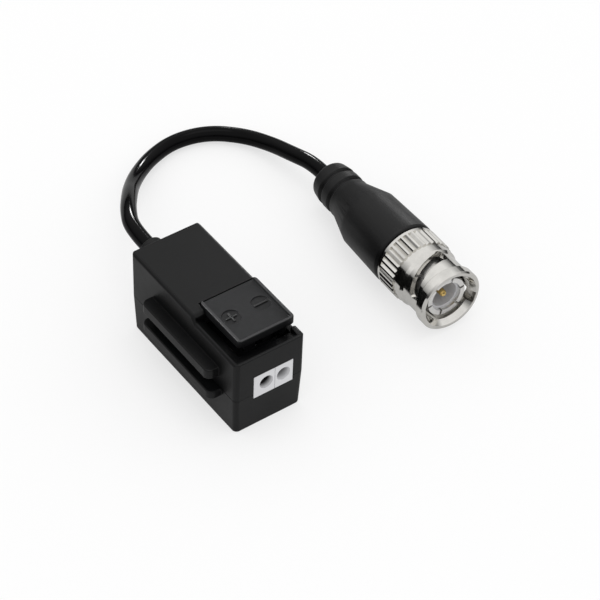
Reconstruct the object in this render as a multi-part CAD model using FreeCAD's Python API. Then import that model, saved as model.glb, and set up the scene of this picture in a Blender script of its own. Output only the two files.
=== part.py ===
import FreeCAD, Part
import math
import os

Vector = FreeCAD.Vector

# Housing, millimetres, origin at the middle of its base, front face towards -Y
HOUSING_WIDTH = 15.0
HOUSING_LENGTH = 33.8
HOUSING_HEIGHT = 18.9
STEP_HEIGHT = 17.6
SEAM_HEIGHT = 8.4
WALL = 1.3
FRONT_WALL = 1.5
ROOF = 1.5
FLOOR = 1.4
CORNER_RADIUS = 1.0
LONG_EDGE_RADIUS = 0.75
END_EDGE_RADIUS = 0.35
DRAFT_INSET = 0.3
BASE_BEVEL = 0.15
STEP_RAMP_START = -2.8
STEP_RAMP_END = -3.9

# Tongue of the lower shell inside the upper shell
TONGUE_HEIGHT = 1.2
TONGUE_THICKNESS = 0.6
TONGUE_CLEARANCE = 0.08

# Side rails
RAIL_REACH = 2.5
RAIL_REAR = 9.9
RAIL_END_RADIUS = 1.3
RAIL_EDGE = 0.25
UPPER_RAIL_BOTTOM = 11.1
UPPER_RAIL_THICKNESS = 2.2
UPPER_RAIL_FRONT = -11.8
LOWER_RAIL_THICKNESS = 1.8
LOWER_RAIL_FRONT = -12.5

# Lever and its well
LEVER_LEFT = -4.65
LEVER_FRONT = -13.75
LEVER_REAR = -1.25
LEVER_THICKNESS = 1.2
LEVER_CORNER = 0.8
RIM_WIDTH = 0.6
RIM_HEIGHT = 0.5
RIM_CORNER = 0.25
MARK_RADIUS = 1.82
MARK_DEPTH = 0.2
MARK_SPREAD = 3.2
MARK_PLACE = -7.2
WELL_SIDE_GAP = 0.2
WELL_FRONT_GAP = 0.32
WELL_GAP = 0.15
APRON_LEFT = -6.95
APRON_FRONT = -16.35
APRON_REAR = -3.4
APRON_DROP = 1.3
WELL_BACK_WALL = 1.0
DECK_TOP = 14.6
DECK_THICKNESS = 1.0
SIDE_CUT_FRONT = -14.05
SIDE_CUT_DEPTH = 1.4

# Lever hinge
PIN_RADIUS = 0.6
PIN_PLACE = -2.3
PIN_HEIGHT = 15.7
PIN_GRIP = 0.8
PIN_CLEARANCE = 0.06
KNUCKLE_RADIUS = 0.98
KNUCKLE_SIDE_GAP = 0.15
WEB_THICKNESS = 1.2
POST_RADIUS = 0.7
POST_LENGTH = 1.9
POST_INSET_X = 2.15
POST_INSET_Y = 1.0

# Wire terminal
TERMINAL_CENTRE = 0.8
TERMINAL_WIDTH = 8.5
TERMINAL_BOTTOM = 7.25
TERMINAL_HEIGHT = 5.3
TERMINAL_DEPTH = 8.2
TERMINAL_RECESS = 0.08
TERMINAL_GAP = 0.08
ENTRY_PLACES = (-0.74, 3.0)
ENTRY_HEIGHT = 10.0
ENTRY_MOUTH_RADIUS = 1.45
ENTRY_THROAT_RADIUS = 1.1
ENTRY_CONE = 1.3
CHAMBER_WIDTH = 2.9
CHAMBER_FRONT = 2.9
CHAMBER_REAR = 7.5
CHAMBER_FLOOR = 0.75
DIVIDER_WIDTH = 0.14
DIVIDER_DEPTH = 0.12

# Clamp springs, contact bars and the lever's pushers
SPRING_THICKNESS = 0.3
SPRING_CLEARANCE = 0.15
SPRING_TOP_DROP = 0.5
BAR_THICKNESS = 0.5
BAR_PIN = 0.8
BAR_PIN_SETBACK = 6.6
PUSHER_WIDTH = 2.2
PUSHER_THICKNESS = 1.4
PUSHER_PLACE = -10.9
PUSHER_GAP = 0.12
WINDOW_CLEARANCE = 0.45

# Circuit board and its supports
BOARD_THICKNESS = 1.0
BOARD_HALF_WIDTH = 5.3
BOARD_FRONT = -14.9
BOARD_REAR = 9.5
SUPPORT_RADIUS = 1.1
SUPPORT_SPREAD = 4.1
SUPPORT_FRONT = -13.2
SUPPORT_REAR = 8.0
SUPPORT_PEG_RADIUS = 0.5
SUPPORT_PEG_RISE = 0.6
PEG_CLEARANCE = 0.05

# Transformer and small components on the board
CORE_OUTER = 3.4
CORE_INNER = 1.7
CORE_HEIGHT = 2.4
CORE_PLACE = -3.6
TURN_SIZE = 0.35
TURN_CLEARANCE = 0.05
TURNS_PER_WINDING = 6
TURN_SPACING_DEGREES = 20.0
LINE_WINDING_DEGREES = 130.0
COAX_WINDING_DEGREES = -50.0
CAPACITOR_RADIUS = 1.9
CAPACITOR_THICKNESS = 1.4
CAPACITOR_PLACE = (-3.1, 3.2)
LEG_RADIUS = 0.25
LEG_SPREAD = 1.1
LEG_RISE = 1.2
SUPPRESSOR_RADIUS = 1.2
SUPPRESSOR_LENGTH = 3.8
SUPPRESSOR_CAP = 0.7
SUPPRESSOR_PLACE = (3.7, 2.2)
CHIP_SIZE = (1.6, 0.8, 0.5)
CHIP_PLACES = ((-3.6, 6.2), (3.3, 6.6), (-1.3, 5.9), (4.3, -6.4))

# Cable gland on the back
GLAND_HEIGHT = 12.1
GLAND_LENGTH = 5.3
GLAND_ROOT_RADIUS = 2.9
GLAND_TIP_RADIUS = 2.5
GLAND_TIP_ROUND = 0.4
GLAND_NECK_RADIUS = 2.4
GLAND_FLANGE_RADIUS = 3.4
GLAND_FLANGE_LENGTH = 1.2
GLAND_CLEARANCE = 0.08

# Cord
CORD_RADIUS = 1.6
CORD_BOOT_RUN = 5.3
FLOOR_GAP = 0.05
LEAD_CLEARANCE = 0.05
WIRE_RADIUS = 0.45

# Coaxial plug, lengths measured back from the front face of its flange
PLUG_X = 41.21
PLUG_Y = -17.22
PLUG_TURN_DEGREES = 3.45
PLUG_TILT_DEGREES = 2.0
PLUG_ROLL_DEGREES = 105.0
FLANGE_RADIUS = 6.63
FLANGE_LENGTH = 2.3
FLANGE_EDGE = 0.3
MOUTH_RADIUS = 5.75
MOUTH_CONE = 1.2
SLEEVE_BORE = 5.05
BARREL_RADIUS = 6.1
SHOULDER_START = 6.9
SHOULDER_LENGTH = 0.7
NOSE_LENGTH = 1.7
NOSE_RADIUS = 6.5
KNURL_RADIUS = 6.85
KNURL_LENGTH = 4.2
KNURL_GROOVE = 0.3
KNURL_GROOVE_DEPTH = 0.4
KNURL_COUNT = 36
KNURL_DEPTH = 0.35
KNURL_OPENING = 1.4
SLEEVE_LENGTH = 14.7
SLEEVE_COLLAR = 2.5
COLLAR_BORE = 4.55
BAYONET_WIDTH = 2.3
BAYONET_SETBACK = 0.5
BAYONET_TURN_DEGREES = 88.0
BAYONET_RISE = 2.2
BAYONET_DETENT = 2.5
ENTRY_GROOVE_DEPTH = 0.75

CONTACT_START = 1.5
CONTACT_RADIUS = 4.15
CONTACT_TIP_RADIUS = 4.33
CONTACT_TIP_LENGTH = 1.6
CONTACT_BORE = 3.2
FINGER_COUNT = 6
FINGER_SLOT = 0.45
FINGER_LENGTH = 5.0
BODY_SHOULDER_LENGTH = 1.1
BODY_SHOULDER_RADIUS = 4.95
NECK_RADIUS = 4.3
NECK_END = 17.8
SEAL_LENGTH = 0.6
SPRING_WASHER_HEIGHT = 1.05
SPRING_WASHER_THICKNESS = 0.3
THRUST_THICKNESS = 0.5
WASHER_BORE = 4.4
COUPLING_PLAY = 0.05
COUPLING_REAR_GAP = 0.2

INSULATOR_FRONT = 2.3
INSULATOR_CUP_BORE = 2.7
INSULATOR_CUP_DEPTH = 3.4
INSULATOR_NOSE_RADIUS = 1.25
INSULATOR_NOSE_LENGTH = 1.0
INSULATOR_END = 16.0
CENTRE_PIN_RADIUS = 0.68
CENTRE_PIN_FRONT = 2.1
CENTRE_PIN_TIP = 0.5
CENTRE_PIN_TAIL_RADIUS = 1.18
CENTRE_PIN_END = 18.5

REAR_BODY_RADIUS = 5.5
REAR_BODY_END = 19.6
STUB_RADIUS = 2.5
STUB_BORE = 1.5
STUB_END = 26.0
FERRULE_START = 19.8
FERRULE_WALL = 0.6
FERRULE_END = 28.0

BOOT_FRONT_GAP = 0.05
BOOT_FRONT_RADIUS = 6.85
BOOT_WAIST_START = 27.4
BOOT_WAIST_RADIUS = 6.47
BOOT_TAPER_END = 33.8
BOOT_COLLAR_RADIUS = 4.5
BOOT_LENGTH_END = 42.0
BOOT_TIP_RADIUS = 4.05
BOOT_EDGE = 0.5
BOOT_GROOVE_WIDTH = 0.8
BOOT_GROOVE_DEPTH = 0.7
BOOT_GROOVES = (35.1, 38.1)
BOOT_FIT = 0.05

# Derived places
FRONT_Y = -HOUSING_LENGTH / 2
REAR_Y = HOUSING_LENGTH / 2
HALF_WIDTH = HOUSING_WIDTH / 2
INNER_X = HALF_WIDTH - WALL
ROOF_UNDERSIDE = HOUSING_HEIGHT - ROOF
WELL_REAR = LEVER_REAR + WELL_GAP
WELL_LEFT = LEVER_LEFT - WELL_SIDE_GAP
WELL_FRONT = LEVER_FRONT - WELL_FRONT_GAP
APRON_BOTTOM = STEP_HEIGHT - APRON_DROP
DECK_BOTTOM = DECK_TOP - DECK_THICKNESS
LEVER_RIGHT = HALF_WIDTH
LEVER_TOP = HOUSING_HEIGHT
LEVER_BOTTOM = LEVER_TOP - LEVER_THICKNESS
LEVER_MIDDLE = (LEVER_LEFT + LEVER_RIGHT) / 2
KNUCKLE_LEFT = LEVER_LEFT
KNUCKLE_RIGHT = INNER_X - KNUCKLE_SIDE_GAP
BOARD_TOP = TERMINAL_BOTTOM
BOARD_BOTTOM = BOARD_TOP - BOARD_THICKNESS
TERMINAL_LEFT = TERMINAL_CENTRE - TERMINAL_WIDTH / 2
TERMINAL_RIGHT = TERMINAL_CENTRE + TERMINAL_WIDTH / 2
TERMINAL_TOP = TERMINAL_BOTTOM + TERMINAL_HEIGHT
TERMINAL_FRONT = FRONT_Y + TERMINAL_RECESS
CHAMBER_BASE = TERMINAL_BOTTOM + CHAMBER_FLOOR
PIN_LEFT = LEVER_LEFT - KNUCKLE_SIDE_GAP - PIN_GRIP
PIN_RIGHT = INNER_X + PIN_GRIP
LEFT_EAR_X = LEVER_LEFT - KNUCKLE_SIDE_GAP
SPRING_TOP = TERMINAL_TOP - SPRING_TOP_DROP
GLAND_END = REAR_Y + GLAND_LENGTH
GLAND_AXIS = Vector(0, 0, GLAND_HEIGHT)
SHOULDER_END = SHOULDER_START + SHOULDER_LENGTH
NOSE_END = SHOULDER_END + NOSE_LENGTH
KNURL_START = NOSE_END + KNURL_GROOVE
KNURL_END = KNURL_START + KNURL_LENGTH
COLLAR_START = SLEEVE_LENGTH - SLEEVE_COLLAR
THRUST_START = COLLAR_START - COUPLING_PLAY - THRUST_THICKNESS
BODY_SHOULDER_END = THRUST_START - SPRING_WASHER_HEIGHT
BODY_SHOULDER_START = BODY_SHOULDER_END - BODY_SHOULDER_LENGTH
REAR_BODY_START = SLEEVE_LENGTH + COUPLING_REAR_GAP
BOOT_START = REAR_BODY_START + BOOT_FRONT_GAP
PLUG_HEIGHT = KNURL_RADIUS + FLOOR_GAP

BACKWARD = Vector(
    math.sin(math.radians(PLUG_TURN_DEGREES)) * math.cos(math.radians(PLUG_TILT_DEGREES)),
    math.cos(math.radians(PLUG_TURN_DEGREES)) * math.cos(math.radians(PLUG_TILT_DEGREES)),
    -math.sin(math.radians(PLUG_TILT_DEGREES)),
)
PLUG_FRONT = Vector(PLUG_X, PLUG_Y, PLUG_HEIGHT - BACKWARD.z * SLEEVE_LENGTH)
BOOT_END = PLUG_FRONT + BACKWARD * BOOT_LENGTH_END
REST = CORD_RADIUS + FLOOR_GAP

# Cord route: out of the gland, down to the surface, round a wide loop and up into the boot
CORD_ROUTE = [
    Vector(0, GLAND_END, GLAND_HEIGHT),
    Vector(0, 29.0, GLAND_HEIGHT),
    Vector(2.5, 36.4, 9.5),
    Vector(7.2, 42.4, 4.4),
    Vector(12.2, 48.5, REST + 0.05),
    Vector(18.4, 53.8, REST),
    Vector(26.1, 55.8, REST),
    Vector(33.8, 54.1, REST),
    Vector(39.9, 49.3, REST),
    Vector(43.2, 42.4, REST + 0.2),
    Vector(44.0, 35.4, 4.0),
    BOOT_END + BACKWARD * CORD_BOOT_RUN,
    BOOT_END,
]
LEAD_ROUTE = [
    Vector(0, GLAND_END, GLAND_HEIGHT),
    Vector(0, 10.2, GLAND_HEIGHT),
    Vector(0, 5.6, 9.3),
]


def block(x0, x1, y0, y1, z0, z1):
    """Box between two corners."""
    return Part.makeBox(x1 - x0, y1 - y0, z1 - z0, Vector(x0, y0, z0))


def face_of(points):
    """Flat face inside a closed outline of straight edges."""
    return Part.Face(Part.makePolygon(points + [points[0]]))


def rounded_outline(x0, x1, y0, y1, radius, z):
    """Closed wire of a rectangle with rounded corners at height z."""
    edges = []
    centres = [(x1 - radius, y1 - radius, 0), (x0 + radius, y1 - radius, 90),
               (x0 + radius, y0 + radius, 180), (x1 - radius, y0 + radius, 270)]
    for index, (cx, cy, start) in enumerate(centres):
        arc_points = [on_circle(cx, cy, z, radius, start + step) for step in (0, 45, 90)]
        edges.append(Part.Arc(*arc_points).toShape())
        nx, ny, next_start = centres[(index + 1) % 4]
        following = on_circle(nx, ny, z, radius, next_start)
        edges.append(Part.makeLine(arc_points[2], following))
    return Part.Wire(edges)


def on_circle(cx, cy, z, radius, degrees):
    """Point on a horizontal circle."""
    angle = math.radians(degrees)
    return Vector(cx + radius * math.cos(angle), cy + radius * math.sin(angle), z)


def rounded_block(x0, x1, y0, y1, z0, z1, radius):
    """Upright block with rounded vertical edges."""
    wire = rounded_outline(x0, x1, y0, y1, radius, z0)
    return Part.Face(wire).extrude(Vector(0, 0, z1 - z0))


def arch_outline(y, half_width, bottom, top, radius):
    """Cross outline of the housing at one place along it, with rounded top edges."""
    left = Vector(-half_width, y, bottom)
    right = Vector(half_width, y, bottom)
    lift = radius * (1 - math.sqrt(0.5))
    right_side = Vector(half_width, y, top - radius)
    right_mid = Vector(half_width - lift, y, top - lift)
    right_top = Vector(half_width - radius, y, top)
    left_top = Vector(-half_width + radius, y, top)
    left_mid = Vector(-half_width + lift, y, top - lift)
    left_side = Vector(-half_width, y, top - radius)
    return Part.Wire([
        Part.makeLine(left, right),
        Part.makeLine(right, right_side),
        Part.Arc(right_side, right_mid, right_top).toShape(),
        Part.makeLine(right_top, left_top),
        Part.Arc(left_top, left_mid, left_side).toShape(),
        Part.makeLine(left_side, left),
    ])


def turned(outline):
    """Solid of revolution about the local X axis from (length, radius) points."""
    face = face_of([Vector(along, radius, 0) for along, radius in outline])
    return face.revolve(Vector(0, 0, 0), Vector(1, 0, 0), 360)


def ring(start, end, inner, outer):
    """Plain ring about the local X axis."""
    return turned([(start, inner), (start, outer), (end, outer), (end, inner)])


def rounded_path(points):
    """Wire of straight runs joined by the largest tangent arcs, with its smallest radius."""
    edges = []
    radii = []
    last = points[0]
    for before, here, after in zip(points, points[1:], points[2:]):
        incoming = here - before
        outgoing = after - here
        turn = incoming.getAngle(outgoing)
        radius = 0.45 * min(incoming.Length, outgoing.Length) / math.tan(turn / 2)
        setback = radius * math.tan(turn / 2)
        incoming.normalize()
        outgoing.normalize()
        start = here - incoming * setback
        end = here + outgoing * setback
        inward = outgoing - incoming
        inward.normalize()
        centre = here + inward * (radius / math.cos(turn / 2))
        middle = centre - inward * radius
        edges.append(Part.makeLine(last, start))
        edges.append(Part.Arc(start, middle, end).toShape())
        radii.append(radius)
        last = end
    edges.append(Part.makeLine(last, points[-1]))
    return Part.Wire(edges), radii


def tube(points, radius):
    """Round cord along a route, with its length and arc radii."""
    path, radii = rounded_path(points)
    heading = points[1] - points[0]
    section = Part.Wire([Part.makeCircle(radius, points[0], heading)])
    solid = path.makePipeShell([section], True, False)
    return solid, path.Length, radii


def housing_blank():
    """Upper part of the housing as a solid, with the step at its front."""
    rear = Part.Face(arch_outline(STEP_RAMP_START, HALF_WIDTH, SEAM_HEIGHT, HOUSING_HEIGHT,
                                  LONG_EDGE_RADIUS)).extrude(Vector(0, REAR_Y - STEP_RAMP_START, 0))
    ramp = Part.makeLoft([
        arch_outline(STEP_RAMP_END, HALF_WIDTH, SEAM_HEIGHT, STEP_HEIGHT, LONG_EDGE_RADIUS),
        arch_outline(STEP_RAMP_START, HALF_WIDTH, SEAM_HEIGHT, HOUSING_HEIGHT, LONG_EDGE_RADIUS),
    ], True, True)
    front = Part.Face(arch_outline(FRONT_Y, HALF_WIDTH, SEAM_HEIGHT, STEP_HEIGHT,
                                   LONG_EDGE_RADIUS)).extrude(Vector(0, STEP_RAMP_END - FRONT_Y, 0))
    blank = rear.fuse([ramp, front]).removeSplitter()
    plan = rounded_block(-HALF_WIDTH, HALF_WIDTH, FRONT_Y, REAR_Y, SEAM_HEIGHT, HOUSING_HEIGHT + 1,
                         CORNER_RADIUS)
    return blank.common(plan).common(end_edge_form())


def end_edge_form():
    """Long prism that rounds the front and rear top edges."""
    radius = END_EDGE_RADIUS
    lift = radius * (1 - math.sqrt(0.5))
    x = -HALF_WIDTH
    front_low = Vector(x, FRONT_Y, SEAM_HEIGHT)
    front_side = Vector(x, FRONT_Y, STEP_HEIGHT - radius)
    front_mid = Vector(x, FRONT_Y + lift, STEP_HEIGHT - lift)
    front_top = Vector(x, FRONT_Y + radius, STEP_HEIGHT)
    inner_low = Vector(x, STEP_RAMP_END, STEP_HEIGHT)
    inner_high = Vector(x, STEP_RAMP_START, HOUSING_HEIGHT)
    rear_top = Vector(x, REAR_Y - radius, HOUSING_HEIGHT)
    rear_mid = Vector(x, REAR_Y - lift, HOUSING_HEIGHT - lift)
    rear_side = Vector(x, REAR_Y, HOUSING_HEIGHT - radius)
    rear_low = Vector(x, REAR_Y, SEAM_HEIGHT)
    wire = Part.Wire([
        Part.makeLine(front_low, front_side),
        Part.Arc(front_side, front_mid, front_top).toShape(),
        Part.makeLine(front_top, inner_low),
        Part.makeLine(inner_low, inner_high),
        Part.makeLine(inner_high, rear_top),
        Part.Arc(rear_top, rear_mid, rear_side).toShape(),
        Part.makeLine(rear_side, rear_low),
        Part.makeLine(rear_low, front_low),
    ])
    return Part.Face(wire).extrude(Vector(HOUSING_WIDTH, 0, 0))


def side_rail(front, bottom, top):
    """Rail along the left side, with rounded ends and softened edges, rooted in the wall."""
    wall = -HALF_WIDTH
    tip = wall - RAIL_REACH
    root = wall + DRAFT_INSET
    bar = rounded_block(tip, wall + RAIL_REACH, front, RAIL_REAR, bottom, top, RAIL_END_RADIUS)
    outer = [edge for edge in bar.Edges if edge.BoundBox.XMin < wall - RAIL_REACH / 2
             and edge.BoundBox.ZLength < RAIL_EDGE]
    bar = bar.makeFillet(RAIL_EDGE, outer)
    return bar.common(block(tip - 1, root, front - 1, RAIL_REAR + 1, bottom - 1, top + 1))


def gland_slot(height, top_clearance):
    """Slot in the rear wall for the gland's neck, open downwards."""
    radius = GLAND_NECK_RADIUS + GLAND_CLEARANCE
    wall_start = REAR_Y - WALL - 1
    hole = Part.makeCylinder(radius, WALL + 2, Vector(0, wall_start, GLAND_HEIGHT), Vector(0, 1, 0))
    legs = block(-radius - top_clearance, radius + top_clearance, wall_start, REAR_Y + 1,
                 height, GLAND_HEIGHT)
    return hole, legs


def terminal_window():
    """Opening in the front wall round the terminal block."""
    return block(TERMINAL_LEFT - TERMINAL_GAP, TERMINAL_RIGHT + TERMINAL_GAP, FRONT_Y - 1,
                 FRONT_Y + FRONT_WALL + 1, TERMINAL_BOTTOM - TERMINAL_GAP, TERMINAL_TOP + TERMINAL_GAP)


def upper_shell():
    """Housing top with its step, lever well, deck, hinge seats and upper rail."""
    shell = housing_blank()
    rear_room = block(-INNER_X, INNER_X, WELL_REAR + WELL_BACK_WALL, REAR_Y - WALL,
                      SEAM_HEIGHT - 1, ROOF_UNDERSIDE)
    front_room = block(-INNER_X, INNER_X, FRONT_Y + FRONT_WALL, WELL_REAR + WELL_BACK_WALL + 1,
                       SEAM_HEIGHT - 1, DECK_BOTTOM)
    well = block(WELL_LEFT, INNER_X, WELL_FRONT, APRON_REAR, DECK_TOP, HOUSING_HEIGHT + 1)
    well_rear = block(LEFT_EAR_X, INNER_X, APRON_REAR - 1, WELL_REAR, DECK_TOP, HOUSING_HEIGHT + 1)
    above_apron = block(APRON_LEFT, INNER_X, APRON_FRONT, APRON_REAR, STEP_HEIGHT, HOUSING_HEIGHT + 1)
    side_cut = block(INNER_X - 1, HALF_WIDTH + 1, SIDE_CUT_FRONT, WELL_REAR,
                     LEVER_BOTTOM - SIDE_CUT_DEPTH, HOUSING_HEIGHT + 1)
    pin_seat = Part.makeCylinder(PIN_RADIUS, PIN_RIGHT - PIN_LEFT, Vector(PIN_LEFT, PIN_PLACE, PIN_HEIGHT),
                                 Vector(1, 0, 0))
    hole, legs = gland_slot(SEAM_HEIGHT - 1, 0)
    reach_x = PUSHER_WIDTH / 2 + WINDOW_CLEARANCE
    reach_y = PUSHER_THICKNESS / 2 + WINDOW_CLEARANCE
    windows = [block(place - reach_x, place + reach_x, PUSHER_PLACE - reach_y,
                     PUSHER_PLACE + reach_y + WINDOW_CLEARANCE, DECK_BOTTOM - 1, DECK_TOP + 1)
               for place in ENTRY_PLACES]
    shell = shell.cut([rear_room, front_room, well, well_rear, apron_slopes(), above_apron, side_cut,
                       pin_seat, hole, legs, terminal_window()] + windows)
    rail = side_rail(UPPER_RAIL_FRONT, UPPER_RAIL_BOTTOM, UPPER_RAIL_BOTTOM + UPPER_RAIL_THICKNESS)
    return shell.fuse(rail).removeSplitter()


def apron_slopes():
    """Cutter whose left and front sides slope down from the wall tops towards the lever."""
    outlines = []
    for z, left, front in ((STEP_HEIGHT, APRON_LEFT, APRON_FRONT), (APRON_BOTTOM, WELL_LEFT, WELL_FRONT)):
        corners = [Vector(left, front, z), Vector(INNER_X, front, z), Vector(INNER_X, APRON_REAR, z),
                   Vector(left, APRON_REAR, z)]
        outlines.append(Part.makePolygon(corners + [corners[0]]))
    return Part.makeLoft(outlines, True, True)


def lower_shell():
    """Housing bottom with draft, seam tongue, board supports, gland tower and lower rail."""
    body = drafted_base()
    room = block(-INNER_X, INNER_X, FRONT_Y + FRONT_WALL, REAR_Y - WALL, FLOOR, SEAM_HEIGHT + 1)
    shell = body.cut([room, terminal_window()])
    shell = shell.fuse([seam_tongue(), gland_tower()] + board_supports())
    rail = side_rail(LOWER_RAIL_FRONT, SEAM_HEIGHT - LOWER_RAIL_THICKNESS, SEAM_HEIGHT)
    return shell.fuse(rail).removeSplitter()


def drafted_base():
    """Tapered block with rounded upright edges and a bevel round its base."""
    outlines = []
    for z, inset in ((0.0, DRAFT_INSET), (SEAM_HEIGHT, 0.0)):
        x = HALF_WIDTH - inset
        y = HOUSING_LENGTH / 2 - inset
        corners = [Vector(-x, -y, z), Vector(x, -y, z), Vector(x, y, z), Vector(-x, y, z)]
        outlines.append(Part.makePolygon(corners + [corners[0]]))
    body = Part.makeLoft(outlines, True, True)
    upright = [edge for edge in body.Edges if edge.BoundBox.ZLength > SEAM_HEIGHT / 2]
    body = body.makeFillet(CORNER_RADIUS, upright)
    base = [edge for edge in body.Edges if edge.BoundBox.ZMax < BASE_BEVEL / 2]
    return body.makeChamfer(BASE_BEVEL, base)


def seam_tongue():
    """Thin wall that rises inside the upper shell and keeps the halves in line."""
    outer_x = INNER_X - TONGUE_CLEARANCE
    front = FRONT_Y + FRONT_WALL + TONGUE_CLEARANCE
    rear = REAR_Y - WALL - TONGUE_CLEARANCE
    root = SEAM_HEIGHT - TONGUE_HEIGHT
    outer = block(-outer_x, outer_x, front, rear, root, SEAM_HEIGHT + TONGUE_HEIGHT)
    inner = block(-outer_x + TONGUE_THICKNESS, outer_x - TONGUE_THICKNESS, front + TONGUE_THICKNESS,
                  rear - TONGUE_THICKNESS, root - 1, SEAM_HEIGHT + TONGUE_HEIGHT + 1)
    shelf = block(-INNER_X, INNER_X, FRONT_Y + FRONT_WALL, REAR_Y - WALL, root, SEAM_HEIGHT)
    terminal_room = block(TERMINAL_LEFT - 2 * TERMINAL_GAP, TERMINAL_RIGHT + 2 * TERMINAL_GAP,
                          FRONT_Y, TERMINAL_FRONT + TERMINAL_DEPTH + TERMINAL_GAP,
                          TERMINAL_BOTTOM - TERMINAL_GAP, TERMINAL_TOP)
    tower_room = block(-GLAND_FLANGE_RADIUS - TERMINAL_GAP, GLAND_FLANGE_RADIUS + TERMINAL_GAP,
                       rear - TONGUE_THICKNESS - 1, REAR_Y, SEAM_HEIGHT, TERMINAL_TOP)
    return outer.fuse(shelf).removeSplitter().cut([inner, terminal_room, tower_room])


def gland_tower():
    """Upright of the rear wall that closes the gland's slot from below."""
    hole, legs = gland_slot(SEAM_HEIGHT - WALL, -TONGUE_CLEARANCE)
    wall = block(-HALF_WIDTH, HALF_WIDTH, REAR_Y - WALL, REAR_Y, SEAM_HEIGHT, GLAND_HEIGHT)
    return legs.common(wall).cut(hole)


def board_supports():
    """Four round supports under the board; the rear pair has pegs through it."""
    supports = []
    for side in (-1, 1):
        x = side * SUPPORT_SPREAD
        for place in (SUPPORT_FRONT, SUPPORT_REAR):
            supports.append(Part.makeCylinder(SUPPORT_RADIUS, BOARD_BOTTOM - FLOOR / 2,
                                              Vector(x, place, FLOOR / 2)))
        supports.append(Part.makeCylinder(SUPPORT_PEG_RADIUS, BOARD_THICKNESS + SUPPORT_PEG_RISE + FLOOR,
                                          Vector(x, SUPPORT_REAR, BOARD_BOTTOM - FLOOR)))
    return supports


def press_lever():
    """Rimmed lever plate with knuckle, pushers, stop post and recessed mark discs."""
    plate = rounded_block(LEVER_LEFT, LEVER_RIGHT, LEVER_FRONT, LEVER_REAR, LEVER_BOTTOM, LEVER_TOP,
                          LEVER_CORNER)
    rim_outer = rounded_block(LEVER_LEFT, LEVER_RIGHT, LEVER_FRONT, LEVER_REAR, LEVER_TOP,
                              LEVER_TOP + RIM_HEIGHT, LEVER_CORNER)
    rim_inner = rounded_block(LEVER_LEFT + RIM_WIDTH, LEVER_RIGHT - RIM_WIDTH, LEVER_FRONT + RIM_WIDTH,
                              LEVER_REAR + LEVER_CORNER + 1, LEVER_TOP, LEVER_TOP + RIM_HEIGHT + 1,
                              RIM_CORNER)
    rim = rim_outer.cut(rim_inner)
    knuckle = Part.makeCylinder(KNUCKLE_RADIUS, KNUCKLE_RIGHT - KNUCKLE_LEFT,
                                Vector(KNUCKLE_LEFT, PIN_PLACE, PIN_HEIGHT), Vector(1, 0, 0))
    web = block(KNUCKLE_LEFT, KNUCKLE_RIGHT, PIN_PLACE - WEB_THICKNESS / 2, PIN_PLACE + WEB_THICKNESS / 2,
                PIN_HEIGHT, LEVER_BOTTOM)
    post = Part.makeCylinder(POST_RADIUS, POST_LENGTH, Vector(LEVER_RIGHT - POST_INSET_X,
                             LEVER_FRONT + POST_INSET_Y, LEVER_BOTTOM - POST_LENGTH))
    pushers = [block(place - PUSHER_WIDTH / 2, place + PUSHER_WIDTH / 2,
                     PUSHER_PLACE - PUSHER_THICKNESS / 2, PUSHER_PLACE + PUSHER_THICKNESS / 2,
                     SPRING_TOP + PUSHER_GAP, LEVER_BOTTOM)
               for place in ENTRY_PLACES]
    lever = plate.fuse([rim, knuckle, web, post] + pushers).removeSplitter()
    bore = Part.makeCylinder(PIN_RADIUS + PIN_CLEARANCE, HOUSING_WIDTH,
                             Vector(-HALF_WIDTH, PIN_PLACE, PIN_HEIGHT), Vector(1, 0, 0))
    discs = [Part.makeCylinder(MARK_RADIUS, MARK_DEPTH + 1,
                               Vector(LEVER_MIDDLE + side * MARK_SPREAD, MARK_PLACE, LEVER_TOP - MARK_DEPTH))
             for side in (-1, 1)]
    return lever.cut([bore] + discs)


def hinge_pin():
    """Steel pin that carries the lever between the two walls of the well."""
    return Part.makeCylinder(PIN_RADIUS, PIN_RIGHT - PIN_LEFT, Vector(PIN_LEFT, PIN_PLACE, PIN_HEIGHT),
                             Vector(1, 0, 0))


def terminal_block():
    """Two-way terminal with funnel entries, spring chambers and a divider line."""
    body = block(TERMINAL_LEFT, TERMINAL_RIGHT, TERMINAL_FRONT, TERMINAL_FRONT + TERMINAL_DEPTH,
                 TERMINAL_BOTTOM, TERMINAL_TOP)
    cuts = []
    for place in ENTRY_PLACES:
        mouth = Vector(place, TERMINAL_FRONT, ENTRY_HEIGHT)
        inward = Vector(0, 1, 0)
        cuts.append(Part.makeCone(ENTRY_MOUTH_RADIUS, ENTRY_THROAT_RADIUS, ENTRY_CONE, mouth, inward))
        cuts.append(Part.makeCylinder(ENTRY_THROAT_RADIUS, CHAMBER_FRONT + 1, mouth, inward))
        cuts.append(block(place - CHAMBER_WIDTH / 2, place + CHAMBER_WIDTH / 2,
                          TERMINAL_FRONT + CHAMBER_FRONT, TERMINAL_FRONT + CHAMBER_REAR,
                          CHAMBER_BASE, TERMINAL_TOP + 1))
        cuts.append(block(place - BAR_PIN / 2, place + BAR_PIN / 2, bar_pin_y() - BAR_PIN / 2,
                          bar_pin_y() + BAR_PIN / 2, TERMINAL_BOTTOM - 1, CHAMBER_BASE + 1))
    divider = sum(ENTRY_PLACES) / 2
    cuts.append(block(divider - DIVIDER_WIDTH / 2, divider + DIVIDER_WIDTH / 2, TERMINAL_FRONT - 1,
                      TERMINAL_FRONT + DIVIDER_DEPTH, TERMINAL_BOTTOM - 1, TERMINAL_TOP + 1))
    return body.cut(cuts)


def bar_pin_y():
    """Place of the contact bars' pins along the housing."""
    return TERMINAL_FRONT + BAR_PIN_SETBACK


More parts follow.
